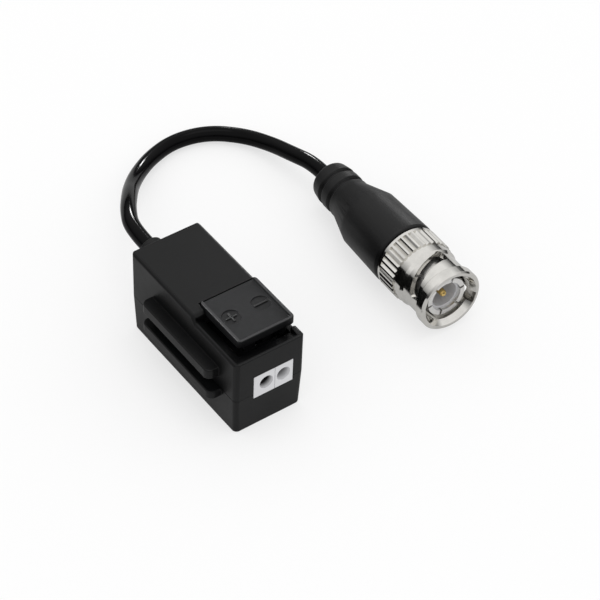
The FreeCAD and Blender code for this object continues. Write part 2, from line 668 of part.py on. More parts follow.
def contact_bar(place):
    """Tinned bar on a chamber's floor, with a pin through the board."""
    half = CHAMBER_WIDTH / 2 - SPRING_CLEARANCE
    bar = block(place - half, place + half, TERMINAL_FRONT + CHAMBER_FRONT + SPRING_CLEARANCE,
                TERMINAL_FRONT + CHAMBER_REAR - SPRING_CLEARANCE, CHAMBER_BASE,
                CHAMBER_BASE + BAR_THICKNESS)
    pin = block(place - BAR_PIN / 2, place + BAR_PIN / 2, bar_pin_y() - BAR_PIN / 2,
                bar_pin_y() + BAR_PIN / 2, BOARD_BOTTOM - BAR_PIN, CHAMBER_BASE)
    return bar.fuse(pin).removeSplitter()


def clamp_spring(place):
    """Bent strip: a top leaf under the pusher, a bend and a slanting clamp leaf."""
    front = TERMINAL_FRONT + CHAMBER_FRONT + SPRING_CLEARANCE
    rear = TERMINAL_FRONT + CHAMBER_REAR - SPRING_CLEARANCE
    floor = CHAMBER_BASE + BAR_THICKNESS
    thickness = SPRING_THICKNESS
    bend = 3 * thickness
    half = CHAMBER_WIDTH / 2 - SPRING_CLEARANCE
    outline = [
        (front, SPRING_TOP), (rear - bend, SPRING_TOP), (rear, SPRING_TOP - bend),
        (rear, SPRING_TOP - 2 * bend), (front + 1.5 * bend, floor), (front + bend, floor),
        (front + bend, floor + thickness), (rear - thickness, SPRING_TOP - 2 * bend + thickness),
        (rear - thickness, SPRING_TOP - bend), (rear - bend, SPRING_TOP - thickness),
        (front, SPRING_TOP - thickness),
    ]
    face = face_of([Vector(place - half, y, z) for y, z in outline])
    return face.extrude(Vector(2 * half, 0, 0))


def circuit_board():
    """Board with holes for the contact pins, the support pegs and the capacitor's legs."""
    board = block(-BOARD_HALF_WIDTH, BOARD_HALF_WIDTH, BOARD_FRONT, BOARD_REAR, BOARD_BOTTOM, BOARD_TOP)
    holes = []
    for place in ENTRY_PLACES:
        holes.append(block(place - BAR_PIN / 2, place + BAR_PIN / 2, bar_pin_y() - BAR_PIN / 2,
                           bar_pin_y() + BAR_PIN / 2, BOARD_BOTTOM - 1, BOARD_TOP + 1))
    for side in (-1, 1):
        holes.append(Part.makeCylinder(SUPPORT_PEG_RADIUS + PEG_CLEARANCE, BOARD_THICKNESS + 2,
                                       Vector(side * SUPPORT_SPREAD, SUPPORT_REAR, BOARD_BOTTOM - 1)))
    return board.cut(holes)


def core_base():
    """Height of the transformer core's underside, carried by its windings."""
    return BOARD_TOP + TURN_SIZE + TURN_CLEARANCE


def transformer_core():
    """Ferrite ring."""
    outer = Part.makeCylinder(CORE_OUTER, CORE_HEIGHT, Vector(0, CORE_PLACE, core_base()))
    inner = Part.makeCylinder(CORE_INNER, CORE_HEIGHT + 2, Vector(0, CORE_PLACE, core_base() - 1))
    return outer.cut(inner)


def winding(start_degrees):
    """Turns of wire round the ferrite ring, joined along its outside."""
    reach_in = CORE_INNER - TURN_CLEARANCE
    reach_out = CORE_OUTER + TURN_CLEARANCE
    low = core_base() - TURN_CLEARANCE
    high = core_base() + CORE_HEIGHT + TURN_CLEARANCE
    turns = []
    for index in range(TURNS_PER_WINDING):
        outer = block(reach_in - TURN_SIZE, reach_out + TURN_SIZE, -TURN_SIZE / 2, TURN_SIZE / 2,
                      low - TURN_SIZE, high + TURN_SIZE)
        inner = block(reach_in, reach_out, -1, 1, low, high)
        turn = outer.cut(inner)
        turn.rotate(Vector(0, 0, 0), Vector(0, 0, 1), start_degrees + index * TURN_SPACING_DEGREES)
        turn.translate(Vector(0, CORE_PLACE, 0))
        turns.append(turn)
    span = (TURNS_PER_WINDING - 1) * TURN_SPACING_DEGREES
    lead = Part.makeCylinder(reach_out + TURN_SIZE, TURN_SIZE, Vector(0, 0, low - TURN_SIZE),
                             Vector(0, 0, 1), span)
    lead = lead.cut(Part.makeCylinder(reach_out, TURN_SIZE + 2, Vector(0, 0, low - TURN_SIZE - 1)))
    lead.rotate(Vector(0, 0, 0), Vector(0, 0, 1), start_degrees)
    lead.translate(Vector(0, CORE_PLACE, 0))
    return turns[0].fuse(turns[1:] + [lead]).removeSplitter()


def filter_capacitor():
    """Upright ceramic disc on two legs."""
    x, y = CAPACITOR_PLACE
    centre = BOARD_TOP + LEG_RISE + CAPACITOR_RADIUS
    disc = Part.makeCylinder(CAPACITOR_RADIUS, CAPACITOR_THICKNESS,
                             Vector(x, y - CAPACITOR_THICKNESS / 2, centre), Vector(0, 1, 0))
    legs = [Part.makeCylinder(LEG_RADIUS, LEG_RISE + CAPACITOR_RADIUS,
                              Vector(x + side * LEG_SPREAD, y, BOARD_TOP))
            for side in (-1, 1)]
    return disc.fuse(legs).removeSplitter()


def surge_suppressor():
    """Small tube with metal caps, lying on the board."""
    x, y = SUPPRESSOR_PLACE
    z = BOARD_TOP + SUPPRESSOR_RADIUS
    start = y - SUPPRESSOR_LENGTH / 2
    tube_body = Part.makeCylinder(SUPPRESSOR_RADIUS - PEG_CLEARANCE, SUPPRESSOR_LENGTH, Vector(x, start, z),
                                  Vector(0, 1, 0))
    caps = [Part.makeCylinder(SUPPRESSOR_RADIUS, SUPPRESSOR_CAP, Vector(x, place, z), Vector(0, 1, 0))
            for place in (start, start + SUPPRESSOR_LENGTH - SUPPRESSOR_CAP)]
    return tube_body.fuse(caps).removeSplitter()


def chip_parts():
    """Surface mounted chips, one solid each."""
    length, width, height = CHIP_SIZE
    chips = [block(x - length / 2, x + length / 2, y - width / 2, y + width / 2, BOARD_TOP,
                   BOARD_TOP + height)
             for x, y in CHIP_PLACES]
    return Part.makeCompound(chips)


def cable_gland():
    """Strain relief: inner flange, neck in the rear wall and tapered sleeve outside."""
    inner_start = REAR_Y - WALL - GLAND_CLEARANCE - GLAND_FLANGE_LENGTH
    inner_end = REAR_Y - WALL - GLAND_CLEARANCE
    outer_start = REAR_Y + GLAND_CLEARANCE
    bore = CORD_RADIUS + LEAD_CLEARANCE
    gland = turned([
        (inner_start, bore), (inner_start, GLAND_FLANGE_RADIUS), (inner_end, GLAND_FLANGE_RADIUS),
        (inner_end, GLAND_NECK_RADIUS), (outer_start, GLAND_NECK_RADIUS), (outer_start, GLAND_ROOT_RADIUS),
        (GLAND_END - GLAND_TIP_ROUND, GLAND_TIP_RADIUS), (GLAND_END, GLAND_TIP_RADIUS - GLAND_TIP_ROUND),
        (GLAND_END, bore),
    ])
    gland.rotate(Vector(0, 0, 0), Vector(0, 0, 1), 90)
    gland.translate(GLAND_AXIS)
    return gland


def inner_wires():
    """Core and screen wires from the lead's end down to the board."""
    tip = LEAD_ROUTE[-1]
    heading = tip - LEAD_ROUTE[-2]
    heading.normalize()
    wires = []
    for side in (-1, 1):
        start = tip + Vector(side * CORD_RADIUS / 2, 0, 0)
        corner = start + heading * CORD_RADIUS
        foot = Vector(corner.x, corner.y - CORD_RADIUS / 2, BOARD_TOP)
        wire_path = Part.Wire([Part.makeLine(start, corner), Part.makeLine(corner, foot)])
        section = Part.Wire([Part.makeCircle(WIRE_RADIUS, start, heading)])
        wire = wire_path.makePipeShell([section], True, False, 1)
        wires.append(wire.cut(block(-HALF_WIDTH, HALF_WIDTH, FRONT_Y, REAR_Y, FLOOR, BOARD_TOP)))
    return wires


def coupling_sleeve():
    """Bayonet coupling: flange, slotted barrel, knurled grip and inner collar."""
    grip = KNURL_RADIUS
    groove_floor = grip - KNURL_GROOVE_DEPTH
    sleeve = turned([
        (MOUTH_CONE, SLEEVE_BORE), (0, MOUTH_RADIUS), (0, FLANGE_RADIUS - FLANGE_EDGE),
        (FLANGE_EDGE, FLANGE_RADIUS), (FLANGE_LENGTH - FLANGE_EDGE, FLANGE_RADIUS),
        (FLANGE_LENGTH, FLANGE_RADIUS - FLANGE_EDGE), (FLANGE_LENGTH, BARREL_RADIUS),
        (SHOULDER_START, BARREL_RADIUS), (SHOULDER_END, NOSE_RADIUS), (NOSE_END, NOSE_RADIUS),
        (NOSE_END, groove_floor), (KNURL_START, groove_floor), (KNURL_START, grip),
        (SLEEVE_LENGTH - FLANGE_EDGE, grip), (SLEEVE_LENGTH, grip - FLANGE_EDGE),
        (SLEEVE_LENGTH, COLLAR_BORE), (COLLAR_START, COLLAR_BORE), (COLLAR_START, SLEEVE_BORE),
    ])
    return sleeve.cut(knurl_cutters() + bayonet_cutters())


def knurl_cutters():
    """Straight V grooves round the grip."""
    half = KNURL_OPENING * math.pi * KNURL_RADIUS / KNURL_COUNT
    over = KNURL_RADIUS + KNURL_DEPTH
    cutters = []
    for index in range(KNURL_COUNT):
        outline = [Vector(NOSE_END, over, -half), Vector(NOSE_END, over, half),
                   Vector(NOSE_END, KNURL_RADIUS - KNURL_DEPTH, 0)]
        cutter = face_of(outline).extrude(Vector(KNURL_END - NOSE_END, 0, 0))
        cutter.rotate(Vector(0, 0, 0), Vector(1, 0, 0), index * 360 / KNURL_COUNT)
        cutters.append(cutter)
    return cutters


def bayonet_cutters():
    """Two helical slots with round detents, and the entry grooves inside the flange."""
    start = FLANGE_LENGTH + BAYONET_SETBACK + BAYONET_WIDTH / 2
    reach = KNURL_RADIUS - SLEEVE_BORE + 2
    cutters = []
    for half_turn in (0, 180):
        pitch = BAYONET_RISE * 360 / BAYONET_TURN_DEGREES
        helix = Part.makeHelix(pitch, BAYONET_RISE, SLEEVE_BORE)
        middle = SLEEVE_BORE + reach / 2 - 1
        inner = middle - reach / 2
        outer = middle + reach / 2
        half = BAYONET_WIDTH / 2
        corners = [Vector(inner, 0, -half), Vector(outer, 0, -half), Vector(outer, 0, half),
                   Vector(inner, 0, half)]
        profile = Part.makePolygon(corners + [corners[0]])
        sweep = Part.BRepOffsetAPI.MakePipeShell(Part.Wire(helix.Edges))
        sweep.setBiNormalMode(Vector(0, 0, 1))
        sweep.add(profile)
        sweep.build()
        sweep.makeSolid()
        slot = sweep.shape()
        outward = Vector(1, 0, 0)
        inside = Vector(SLEEVE_BORE - 1, 0, 0)
        detent = Part.makeCylinder(BAYONET_DETENT / 2, reach + 1, inside, outward)
        detent.rotate(Vector(0, 0, 0), Vector(0, 0, 1), BAYONET_TURN_DEGREES)
        detent.translate(Vector(0, 0, BAYONET_RISE))
        entry = block(SLEEVE_BORE - 1, SLEEVE_BORE + ENTRY_GROOVE_DEPTH, -half, half, -start - 1, 0)
        mouth = Part.makeCylinder(half, reach + 1, inside, outward)
        for cutter in (slot, detent, entry, mouth):
            cutter.rotate(Vector(0, 0, 0), Vector(0, 0, 1), half_turn)
            cutter.rotate(Vector(0, 0, 0), Vector(0, 1, 0), 90)
            cutter.translate(Vector(start, 0, 0))
            cutters.append(cutter)
    return cutters


def plug_body():
    """Outer contact with spring fingers, shoulder for the washers and long neck."""
    body = turned([
        (CONTACT_START, CONTACT_BORE), (CONTACT_START, CONTACT_RADIUS),
        (CONTACT_START + CONTACT_TIP_LENGTH / 2, CONTACT_TIP_RADIUS),
        (CONTACT_START + CONTACT_TIP_LENGTH, CONTACT_RADIUS), (BODY_SHOULDER_START, CONTACT_RADIUS),
        (BODY_SHOULDER_START, BODY_SHOULDER_RADIUS), (BODY_SHOULDER_END, BODY_SHOULDER_RADIUS),
        (BODY_SHOULDER_END, NECK_RADIUS), (NECK_END, NECK_RADIUS), (NECK_END, CONTACT_BORE),
    ])
    slots = []
    for index in range(FINGER_COUNT):
        slot = block(0, CONTACT_START + FINGER_LENGTH, CONTACT_BORE - 1, CONTACT_TIP_RADIUS + 1,
                     -FINGER_SLOT / 2, FINGER_SLOT / 2)
        slot.rotate(Vector(0, 0, 0), Vector(1, 0, 0), index * 360 / FINGER_COUNT)
        slots.append(slot)
    return body.cut(slots)


def plug_insulator():
    """Insulator with an open cup at the front and a short nose round the pin."""
    cup_floor = INSULATOR_FRONT + INSULATOR_CUP_DEPTH
    return turned([
        (INSULATOR_FRONT, INSULATOR_CUP_BORE), (INSULATOR_FRONT, CONTACT_BORE),
        (INSULATOR_END, CONTACT_BORE), (INSULATOR_END, CENTRE_PIN_RADIUS),
        (cup_floor - INSULATOR_NOSE_LENGTH, CENTRE_PIN_RADIUS),
        (cup_floor - INSULATOR_NOSE_LENGTH, INSULATOR_NOSE_RADIUS), (cup_floor, INSULATOR_NOSE_RADIUS),
        (cup_floor, INSULATOR_CUP_BORE),
    ])


def centre_pin():
    """Gilded pin with a rounded tip and a wider tail behind the insulator."""
    tail = CENTRE_PIN_TAIL_RADIUS
    return turned([
        (CENTRE_PIN_FRONT, 0), (CENTRE_PIN_FRONT, CENTRE_PIN_RADIUS / 3),
        (CENTRE_PIN_FRONT + CENTRE_PIN_TIP / 3, CENTRE_PIN_RADIUS * 0.75),
        (CENTRE_PIN_FRONT + CENTRE_PIN_TIP, CENTRE_PIN_RADIUS), (INSULATOR_END, CENTRE_PIN_RADIUS),
        (INSULATOR_END, tail), (CENTRE_PIN_END, tail), (CENTRE_PIN_END, 0),
    ])


def spring_washer():
    """Coned washer that presses the coupling back."""
    height = SPRING_WASHER_HEIGHT
    thickness = SPRING_WASHER_THICKNESS
    return turned([
        (BODY_SHOULDER_END, WASHER_BORE), (BODY_SHOULDER_END + thickness, WASHER_BORE),
        (BODY_SHOULDER_END + height, BODY_SHOULDER_RADIUS),
        (BODY_SHOULDER_END + height - thickness, BODY_SHOULDER_RADIUS),
    ])


def rear_body():
    """Back nut on the neck, with the stub for the cable's screen."""
    return turned([
        (REAR_BODY_START, NECK_RADIUS), (REAR_BODY_START, REAR_BODY_RADIUS),
        (REAR_BODY_END, REAR_BODY_RADIUS), (REAR_BODY_END, STUB_RADIUS), (STUB_END, STUB_RADIUS),
        (STUB_END, STUB_BORE), (NECK_END, STUB_BORE), (NECK_END, NECK_RADIUS),
    ])


def plug_boot():
    """Tapered boot with a collar, two ring grooves and a stepped socket."""
    outline = [
        (BOOT_START, REAR_BODY_RADIUS + BOOT_FIT), (BOOT_START, BOOT_FRONT_RADIUS - BOOT_EDGE),
        (BOOT_START + BOOT_EDGE, BOOT_FRONT_RADIUS), (BOOT_WAIST_START, BOOT_WAIST_RADIUS),
        (BOOT_TAPER_END, BOOT_COLLAR_RADIUS),
    ]
    for place in BOOT_GROOVES:
        floor = BOOT_COLLAR_RADIUS - BOOT_GROOVE_DEPTH
        outline += [(place, BOOT_COLLAR_RADIUS), (place, floor), (place + BOOT_GROOVE_WIDTH, floor),
                    (place + BOOT_GROOVE_WIDTH, BOOT_COLLAR_RADIUS)]
    outline += [
        (BOOT_LENGTH_END - BOOT_EDGE, BOOT_TIP_RADIUS), (BOOT_LENGTH_END, BOOT_TIP_RADIUS - BOOT_EDGE),
        (BOOT_LENGTH_END, 0), (FERRULE_END + BOOT_FIT, 0),
        (FERRULE_END + BOOT_FIT, STUB_RADIUS + FERRULE_WALL + BOOT_FIT),
        (REAR_BODY_END + BOOT_FIT, STUB_RADIUS + FERRULE_WALL + BOOT_FIT),
        (REAR_BODY_END + BOOT_FIT, REAR_BODY_RADIUS + BOOT_FIT),
    ]
    return turned(outline)


def on_plug(shape):
    """Move a plug piece from its own axis to where the plug lies."""
    lay = FreeCAD.Rotation(Vector(1, 0, 0), BACKWARD)
    roll = FreeCAD.Rotation(Vector(1, 0, 0), PLUG_ROLL_DEGREES)
    shape.Placement = FreeCAD.Placement(PLUG_FRONT, lay.multiply(roll)).multiply(shape.Placement)
    return shape


def save(name, shape):
    """Write one piece and print what it measures."""
    box = shape.BoundBox
    shape.exportStep("parts/" + name + ".step")
    print("%-20s solids %d valid %s volume %.1f  x %.2f..%.2f y %.2f..%.2f z %.2f..%.2f" % (
        name, len(shape.Solids), shape.isValid(), shape.Volume, box.XMin, box.XMax, box.YMin, box.YMax,
        box.ZMin, box.ZMax))


def main():
    os.makedirs("parts", exist_ok=True)
    save("upper_shell", upper_shell())
    save("lower_shell", lower_shell())
    save("press_lever", press_lever())
    save("hinge_pin", hinge_pin())
    save("terminal_block", terminal_block())
    for place, name in zip(ENTRY_PLACES, ("plus", "minus")):
        save("contact_bar_" + name, contact_bar(place))
        save("clamp_spring_" + name, clamp_spring(place))
    save("circuit_board", circuit_board())
    save("transformer_core", transformer_core())
    save("winding_line", winding(LINE_WINDING_DEGREES))
    save("winding_coax", winding(COAX_WINDING_DEGREES))
    save("filter_capacitor", filter_capacitor())
    save("surge_suppressor", surge_suppressor())
    save("chip_parts", chip_parts())
    save("cable_gland", cable_gland())
    lead, lead_length, lead_radii = tube(LEAD_ROUTE, CORD_RADIUS)
    save("cable_lead", lead)
    signal_wire, ground_wire = inner_wires()
    save("signal_wire", signal_wire)
    save("ground_wire", ground_wire)
    cord, cord_length, cord_radii = tube(CORD_ROUTE, CORD_RADIUS)
    save("cord", cord)
    print("cord length %.1f, volume over section times length %.4f, radii in diameters %s" % (
        cord_length, cord.Volume / (math.pi * CORD_RADIUS ** 2 * cord_length),
        " ".join("%.1f" % (radius / CORD_RADIUS / 2) for radius in cord_radii)))
    print("lead length %.1f, radii %s" % (lead_length, " ".join("%.1f" % radius for radius in lead_radii)))
    save("coupling_sleeve", on_plug(coupling_sleeve()))
    save("plug_body", on_plug(plug_body()))
    save("plug_insulator", on_plug(plug_insulator()))
    save("centre_pin", on_plug(centre_pin()))
    save("sealing_ring", on_plug(ring(BODY_SHOULDER_START - SEAL_LENGTH, BODY_SHOULDER_START,
                                      CONTACT_RADIUS, BODY_SHOULDER_RADIUS)))
    save("spring_washer", on_plug(spring_washer()))
    save("thrust_washer", on_plug(ring(THRUST_START, THRUST_START + THRUST_THICKNESS, WASHER_BORE,
                                       BODY_SHOULDER_RADIUS)))
    save("rear_body", on_plug(rear_body()))
    save("crimp_ferrule", on_plug(ring(FERRULE_START, FERRULE_END, STUB_RADIUS,
                                       STUB_RADIUS + FERRULE_WALL)))
    save("plug_boot", on_plug(plug_boot()))


main()
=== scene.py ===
"""Looks of the video balun: finishes, rounded lever, copied springs, free cord and studio."""

import logging
import math
from dataclasses import dataclass, field
from enum import Enum
from typing import Any

import bmesh
import bpy
from mathutils import Matrix, Vector

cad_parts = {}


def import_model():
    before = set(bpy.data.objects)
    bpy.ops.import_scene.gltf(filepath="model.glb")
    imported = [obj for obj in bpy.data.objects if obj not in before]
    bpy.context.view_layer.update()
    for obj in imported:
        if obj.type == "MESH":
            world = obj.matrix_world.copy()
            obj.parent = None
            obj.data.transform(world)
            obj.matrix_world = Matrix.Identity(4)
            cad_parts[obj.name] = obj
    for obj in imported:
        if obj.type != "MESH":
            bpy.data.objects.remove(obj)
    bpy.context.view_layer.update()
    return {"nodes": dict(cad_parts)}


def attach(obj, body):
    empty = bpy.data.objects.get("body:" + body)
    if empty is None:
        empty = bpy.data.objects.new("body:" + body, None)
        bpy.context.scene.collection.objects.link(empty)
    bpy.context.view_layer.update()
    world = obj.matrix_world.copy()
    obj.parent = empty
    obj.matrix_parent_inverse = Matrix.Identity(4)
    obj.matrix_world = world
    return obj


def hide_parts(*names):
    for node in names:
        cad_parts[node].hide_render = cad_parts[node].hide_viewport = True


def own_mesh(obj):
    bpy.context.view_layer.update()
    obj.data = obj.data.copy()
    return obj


Point = tuple[float, float, float]
Colour = tuple[float, float, float]

MM = 0.001
PICTURE_PIXELS = 600
LEVER_PIECES = ("lever_plate", "mark_plus", "mark_minus")
SHELL_PIECES = ("upper_shell", "lower_shell")

# Mesh clean-up: the distance is in metres.
WELD_DISTANCE = 0.000002
FLAT_DEGREES = 1.0
SHARP_DEGREES = 35.0
CREASE_DEGREES = 50.0
EVENNESS = 95

# Where most of a noise texture's values lie, and the moulded grain, its depth in metres.
NOISE_LOW = 0.3
NOISE_HIGH = 0.7
GRAIN_SCALE = 5200.0
GRAIN_DEPTH = 0.000012

# Springs: direction, fixed end in millimetres, and the share of the length left at the limit.
UPWARD = (0.0, 0.0, 1.0)
CLAMP_SEAT = (0.0, -11.6, 8.5)
CLAMP_KEEP = 0.77
PLUG_FORWARD = (-0.06014082, -0.99757962, 0.0348995)
WASHER_SEAT = (41.869, -6.648, 7.031)
WASHER_KEEP = 0.32

log = logging.getLogger("video_balun")


class Tone(Enum):
    """How strongly a moulded surface scatters light."""

    POLISHED = 0.12
    SATIN = 0.42
    MATTE = 0.55


class Plating(Enum):
    """Base colours of the metals on the part."""

    NICKEL = (0.76, 0.745, 0.71)
    GOLD = (0.93, 0.66, 0.24)
    TIN = (0.74, 0.74, 0.73)
    STEEL = (0.60, 0.60, 0.61)
    COPPER = (0.72, 0.30, 0.13)
    SATIN_NICKEL = (0.93, 0.92, 0.90)


class Wiring:
    """Adds and joins the nodes of one shader tree."""

    tree: bpy.types.ShaderNodeTree

    def node(self, kind: str, **settings: Any) -> bpy.types.Node:
        """Add a node and set its properties.

        Args:
            kind: the node's class name.
            settings: properties to set on the new node.

        Returns:
            The new node.
        """
        made = self.tree.nodes.new(kind)
        for name, value in settings.items():
            setattr(made, name, value)
        return made

    def link(self, source: bpy.types.NodeSocket, target: bpy.types.NodeSocket) -> None:
        """Join two sockets."""
        self.tree.links.new(source, target)


@dataclass
class GroupDraft(Wiring):
    """A shader node group that is being wired up."""

    name: str
    tree: bpy.types.ShaderNodeTree = field(init=False)
    entry: bpy.types.Node = field(init=False)
    result: bpy.types.Node = field(init=False)

    def __post_init__(self) -> None:
        """Start an empty group with its two end nodes."""
        self.tree = bpy.data.node_groups.new(self.name, "ShaderNodeTree")
        self.entry = self.tree.nodes.new("NodeGroupInput")
        self.result = self.tree.nodes.new("NodeGroupOutput")

    def take(self, name: str, value: float) -> None:
        """Add a float input with its default value."""
        socket = self.tree.interface.new_socket(name=name, in_out="INPUT", socket_type="NodeSocketFloat")
        socket.default_value = value

    def take_vector(self, name: str) -> None:
        """Add a vector input."""
        self.tree.interface.new_socket(name=name, in_out="INPUT", socket_type="NodeSocketVector")

    def give(self, name: str, source: bpy.types.NodeSocket) -> None:
        """Add a float output that carries a socket's value.

        Args:
            name: name of the output.
            source: the socket inside the group that feeds it.
        """
        self.tree.interface.new_socket(name=name, in_out="OUTPUT", socket_type="NodeSocketFloat")
        self.tree.links.new(source, self.result.inputs[name])

    def ranged(self, source: bpy.types.NodeSocket, low: Any, high: Any) -> bpy.types.NodeSocket:
        """Map a noise value onto a wanted range.

        Args:
            source: the value to map, mostly between NOISE_LOW and NOISE_HIGH.
            low: number or socket for the lower end.
            high: number or socket for the upper end.

        Returns:
            The mapped value.
        """
        mapped = self.node("ShaderNodeMapRange")
        mapped.inputs["From Min"].default_value = NOISE_LOW
        mapped.inputs["From Max"].default_value = NOISE_HIGH
        self.link(source, mapped.inputs["Value"])
        for name, end in (("To Min", low), ("To Max", high)):
            if isinstance(end, bpy.types.NodeSocket):
                self.link(end, mapped.inputs[name])
            else:
                mapped.inputs[name].default_value = end
        return mapped.outputs["Result"]


class Effects:
    """The shader node groups that several finishes share."""

    def __init__(self) -> None:
        """Build each group once."""
        self.grain = self._moulded_grain()
        self.turning = self._turning_marks()
        self.edge_polish_and_highlight = self._edge_polish_and_painted_highlight()
        # Painted shade inside the wire entries.
        self.depth = self._entry_painted_shade()
        self.painted_highlight = self._painted_top_highlight()

    def _moulded_grain(self) -> bpy.types.ShaderNodeTree:
        """Fine spark-eroded grain with slow changes of sheen.

        Returns:
            A group with outputs Height, Roughness and Tint.
        """
        draft = GroupDraft("moulded_grain")
        draft.take("Grain Scale", GRAIN_SCALE)
        draft.take("Smooth", 0.4)
        draft.take("Rough", 0.5)
        place = draft.node("ShaderNodeTexCoord")
        fine = draft.node("ShaderNodeTexNoise")
        fine.inputs["Detail"].default_value = 3.0
        fine.inputs["Roughness"].default_value = 0.6
        draft.link(place.outputs["Object"], fine.inputs["Vector"])
        draft.link(draft.entry.outputs["Grain Scale"], fine.inputs["Scale"])
        slow = draft.node("ShaderNodeTexNoise")
        slow.inputs["Scale"].default_value = 190.0
        slow.inputs["Detail"].default_value = 4.0
        draft.link(place.outputs["Object"], slow.inputs["Vector"])
        draft.give("Height", fine.outputs["Fac"])
        draft.give("Roughness", draft.ranged(slow.outputs["Fac"], draft.entry.outputs["Smooth"],
                                             draft.entry.outputs["Rough"]))
        draft.give("Tint", draft.ranged(slow.outputs["Fac"], 0.0, 1.0))
        return draft.tree

    def _turning_marks(self) -> bpy.types.ShaderNodeTree:
        """Fine rings that a lathe leaves round an axis, under a plated surface.

        Returns:
            A group with outputs Height, Roughness and Tarnish.
        """
        draft = GroupDraft("turning_marks")
        draft.take_vector("Axis")
        draft.take("Smooth", 0.1)
        draft.take("Rough", 0.2)
        place = draft.node("ShaderNodeTexCoord")
        along = draft.node("ShaderNodeVectorMath", operation="DOT_PRODUCT")
        draft.link(place.outputs["Object"], along.inputs[0])
        draft.link(draft.entry.outputs["Axis"], along.inputs[1])
        rings = draft.node("ShaderNodeTexNoise", noise_dimensions="1D")
        rings.inputs["Scale"].default_value = 9000.0
        rings.inputs["Detail"].default_value = 2.0
        draft.link(along.outputs["Value"], rings.inputs["W"])
        film = draft.node("ShaderNodeTexNoise")
        film.inputs["Scale"].default_value = 420.0
        film.inputs["Detail"].default_value = 5.0
        draft.link(place.outputs["Object"], film.inputs["Vector"])
        draft.give("Height", rings.outputs["Fac"])
        draft.give("Roughness", draft.ranged(film.outputs["Fac"], draft.entry.outputs["Smooth"],
                                             draft.entry.outputs["Rough"]))
        draft.give("Tarnish", draft.ranged(film.outputs["Fac"], 0.0, 1.0))
        return draft.tree

    def _edge_polish_and_painted_highlight(self) -> bpy.types.ShaderNodeTree:
        """Convex edges lightened, partly polish from use and partly painted highlight, broken up by noise.

        Returns:
            A group with the output Mask.
        """
        draft = GroupDraft("edge_polish_and_painted_highlight")
        draft.take("Reach", 0.56)
        shape = draft.node("ShaderNodeNewGeometry")
        edge = draft.node("ShaderNodeMapRange")
        edge.inputs["From Min"].default_value = 0.51
        draft.link(shape.outputs["Pointiness"], edge.inputs["Value"])
        draft.link(draft.entry.outputs["Reach"], edge.inputs["From Max"])
        place = draft.node("ShaderNodeTexCoord")
        broken = draft.node("ShaderNodeTexNoise")
        broken.inputs["Scale"].default_value = 900.0
        broken.inputs["Detail"].default_value = 4.0
        draft.link(place.outputs["Object"], broken.inputs["Vector"])
        both = draft.node("ShaderNodeMath", operation="MULTIPLY")
        draft.link(edge.outputs["Result"], both.inputs[0])
        draft.link(draft.ranged(broken.outputs["Fac"], 0.35, 1.0), both.inputs[1])
        draft.give("Mask", both.outputs["Value"])
        return draft.tree

    def _painted_top_highlight(self) -> bpy.types.ShaderNodeTree:
        """Painted highlight on the highest part of a piece.

        Returns:
            A group with the output Mask.
        """
        draft = GroupDraft("painted_top_highlight")
        for name in ("Low", "High"):
            draft.take(name, 0.0)
        place = draft.node("ShaderNodeTexCoord")
        parts = draft.node("ShaderNodeSeparateXYZ")
        draft.link(place.outputs["Object"], parts.inputs["Vector"])
        rise = draft.node("ShaderNodeMapRange")
        draft.link(parts.outputs["Z"], rise.inputs["Value"])
        draft.link(draft.entry.outputs["Low"], rise.inputs["From Min"])
        draft.link(draft.entry.outputs["High"], rise.inputs["From Max"])
        draft.give("Mask", rise.outputs["Result"])
        return draft.tree

    def _entry_painted_shade(self) -> bpy.types.ShaderNodeTree:
        """Painted shade inside a wire entry, growing with how far a surface lies inside it, less where the
        clamp is shut.

        Returns:
            A group with the output Mask.
        """
        draft = GroupDraft("entry_painted_shade")
        for name in ("Mouth", "Clamp", "Shut Entry", "Shut Share"):
            draft.take(name, 0.0)
        place = draft.node("ShaderNodeTexCoord")
        parts = draft.node("ShaderNodeSeparateXYZ")
        draft.link(place.outputs["Object"], parts.inputs["Vector"])
        depth = draft.node("ShaderNodeMapRange")
        draft.link(parts.outputs["Y"], depth.inputs["Value"])
        draft.link(draft.entry.outputs["Mouth"], depth.inputs["From Min"])
        draft.link(draft.entry.outputs["Clamp"], depth.inputs["From Max"])
        beyond = draft.node("ShaderNodeMath", operation="GREATER_THAN")
        draft.link(parts.outputs["X"], beyond.inputs[0])
        draft.link(draft.entry.outputs["Shut Entry"], beyond.inputs[1])
        share = draft.node("ShaderNodeMapRange")
        share.inputs["To Min"].default_value = 1.0
        draft.link(beyond.outputs["Value"], share.inputs["Value"])
        draft.link(draft.entry.outputs["Shut Share"], share.inputs["To Max"])
        both = draft.node("ShaderNodeMath", operation="MULTIPLY")
        draft.link(depth.outputs["Result"], both.inputs[0])
        draft.link(share.outputs["Result"], both.inputs[1])
        draft.give("Mask", both.outputs["Value"])
        return draft.tree


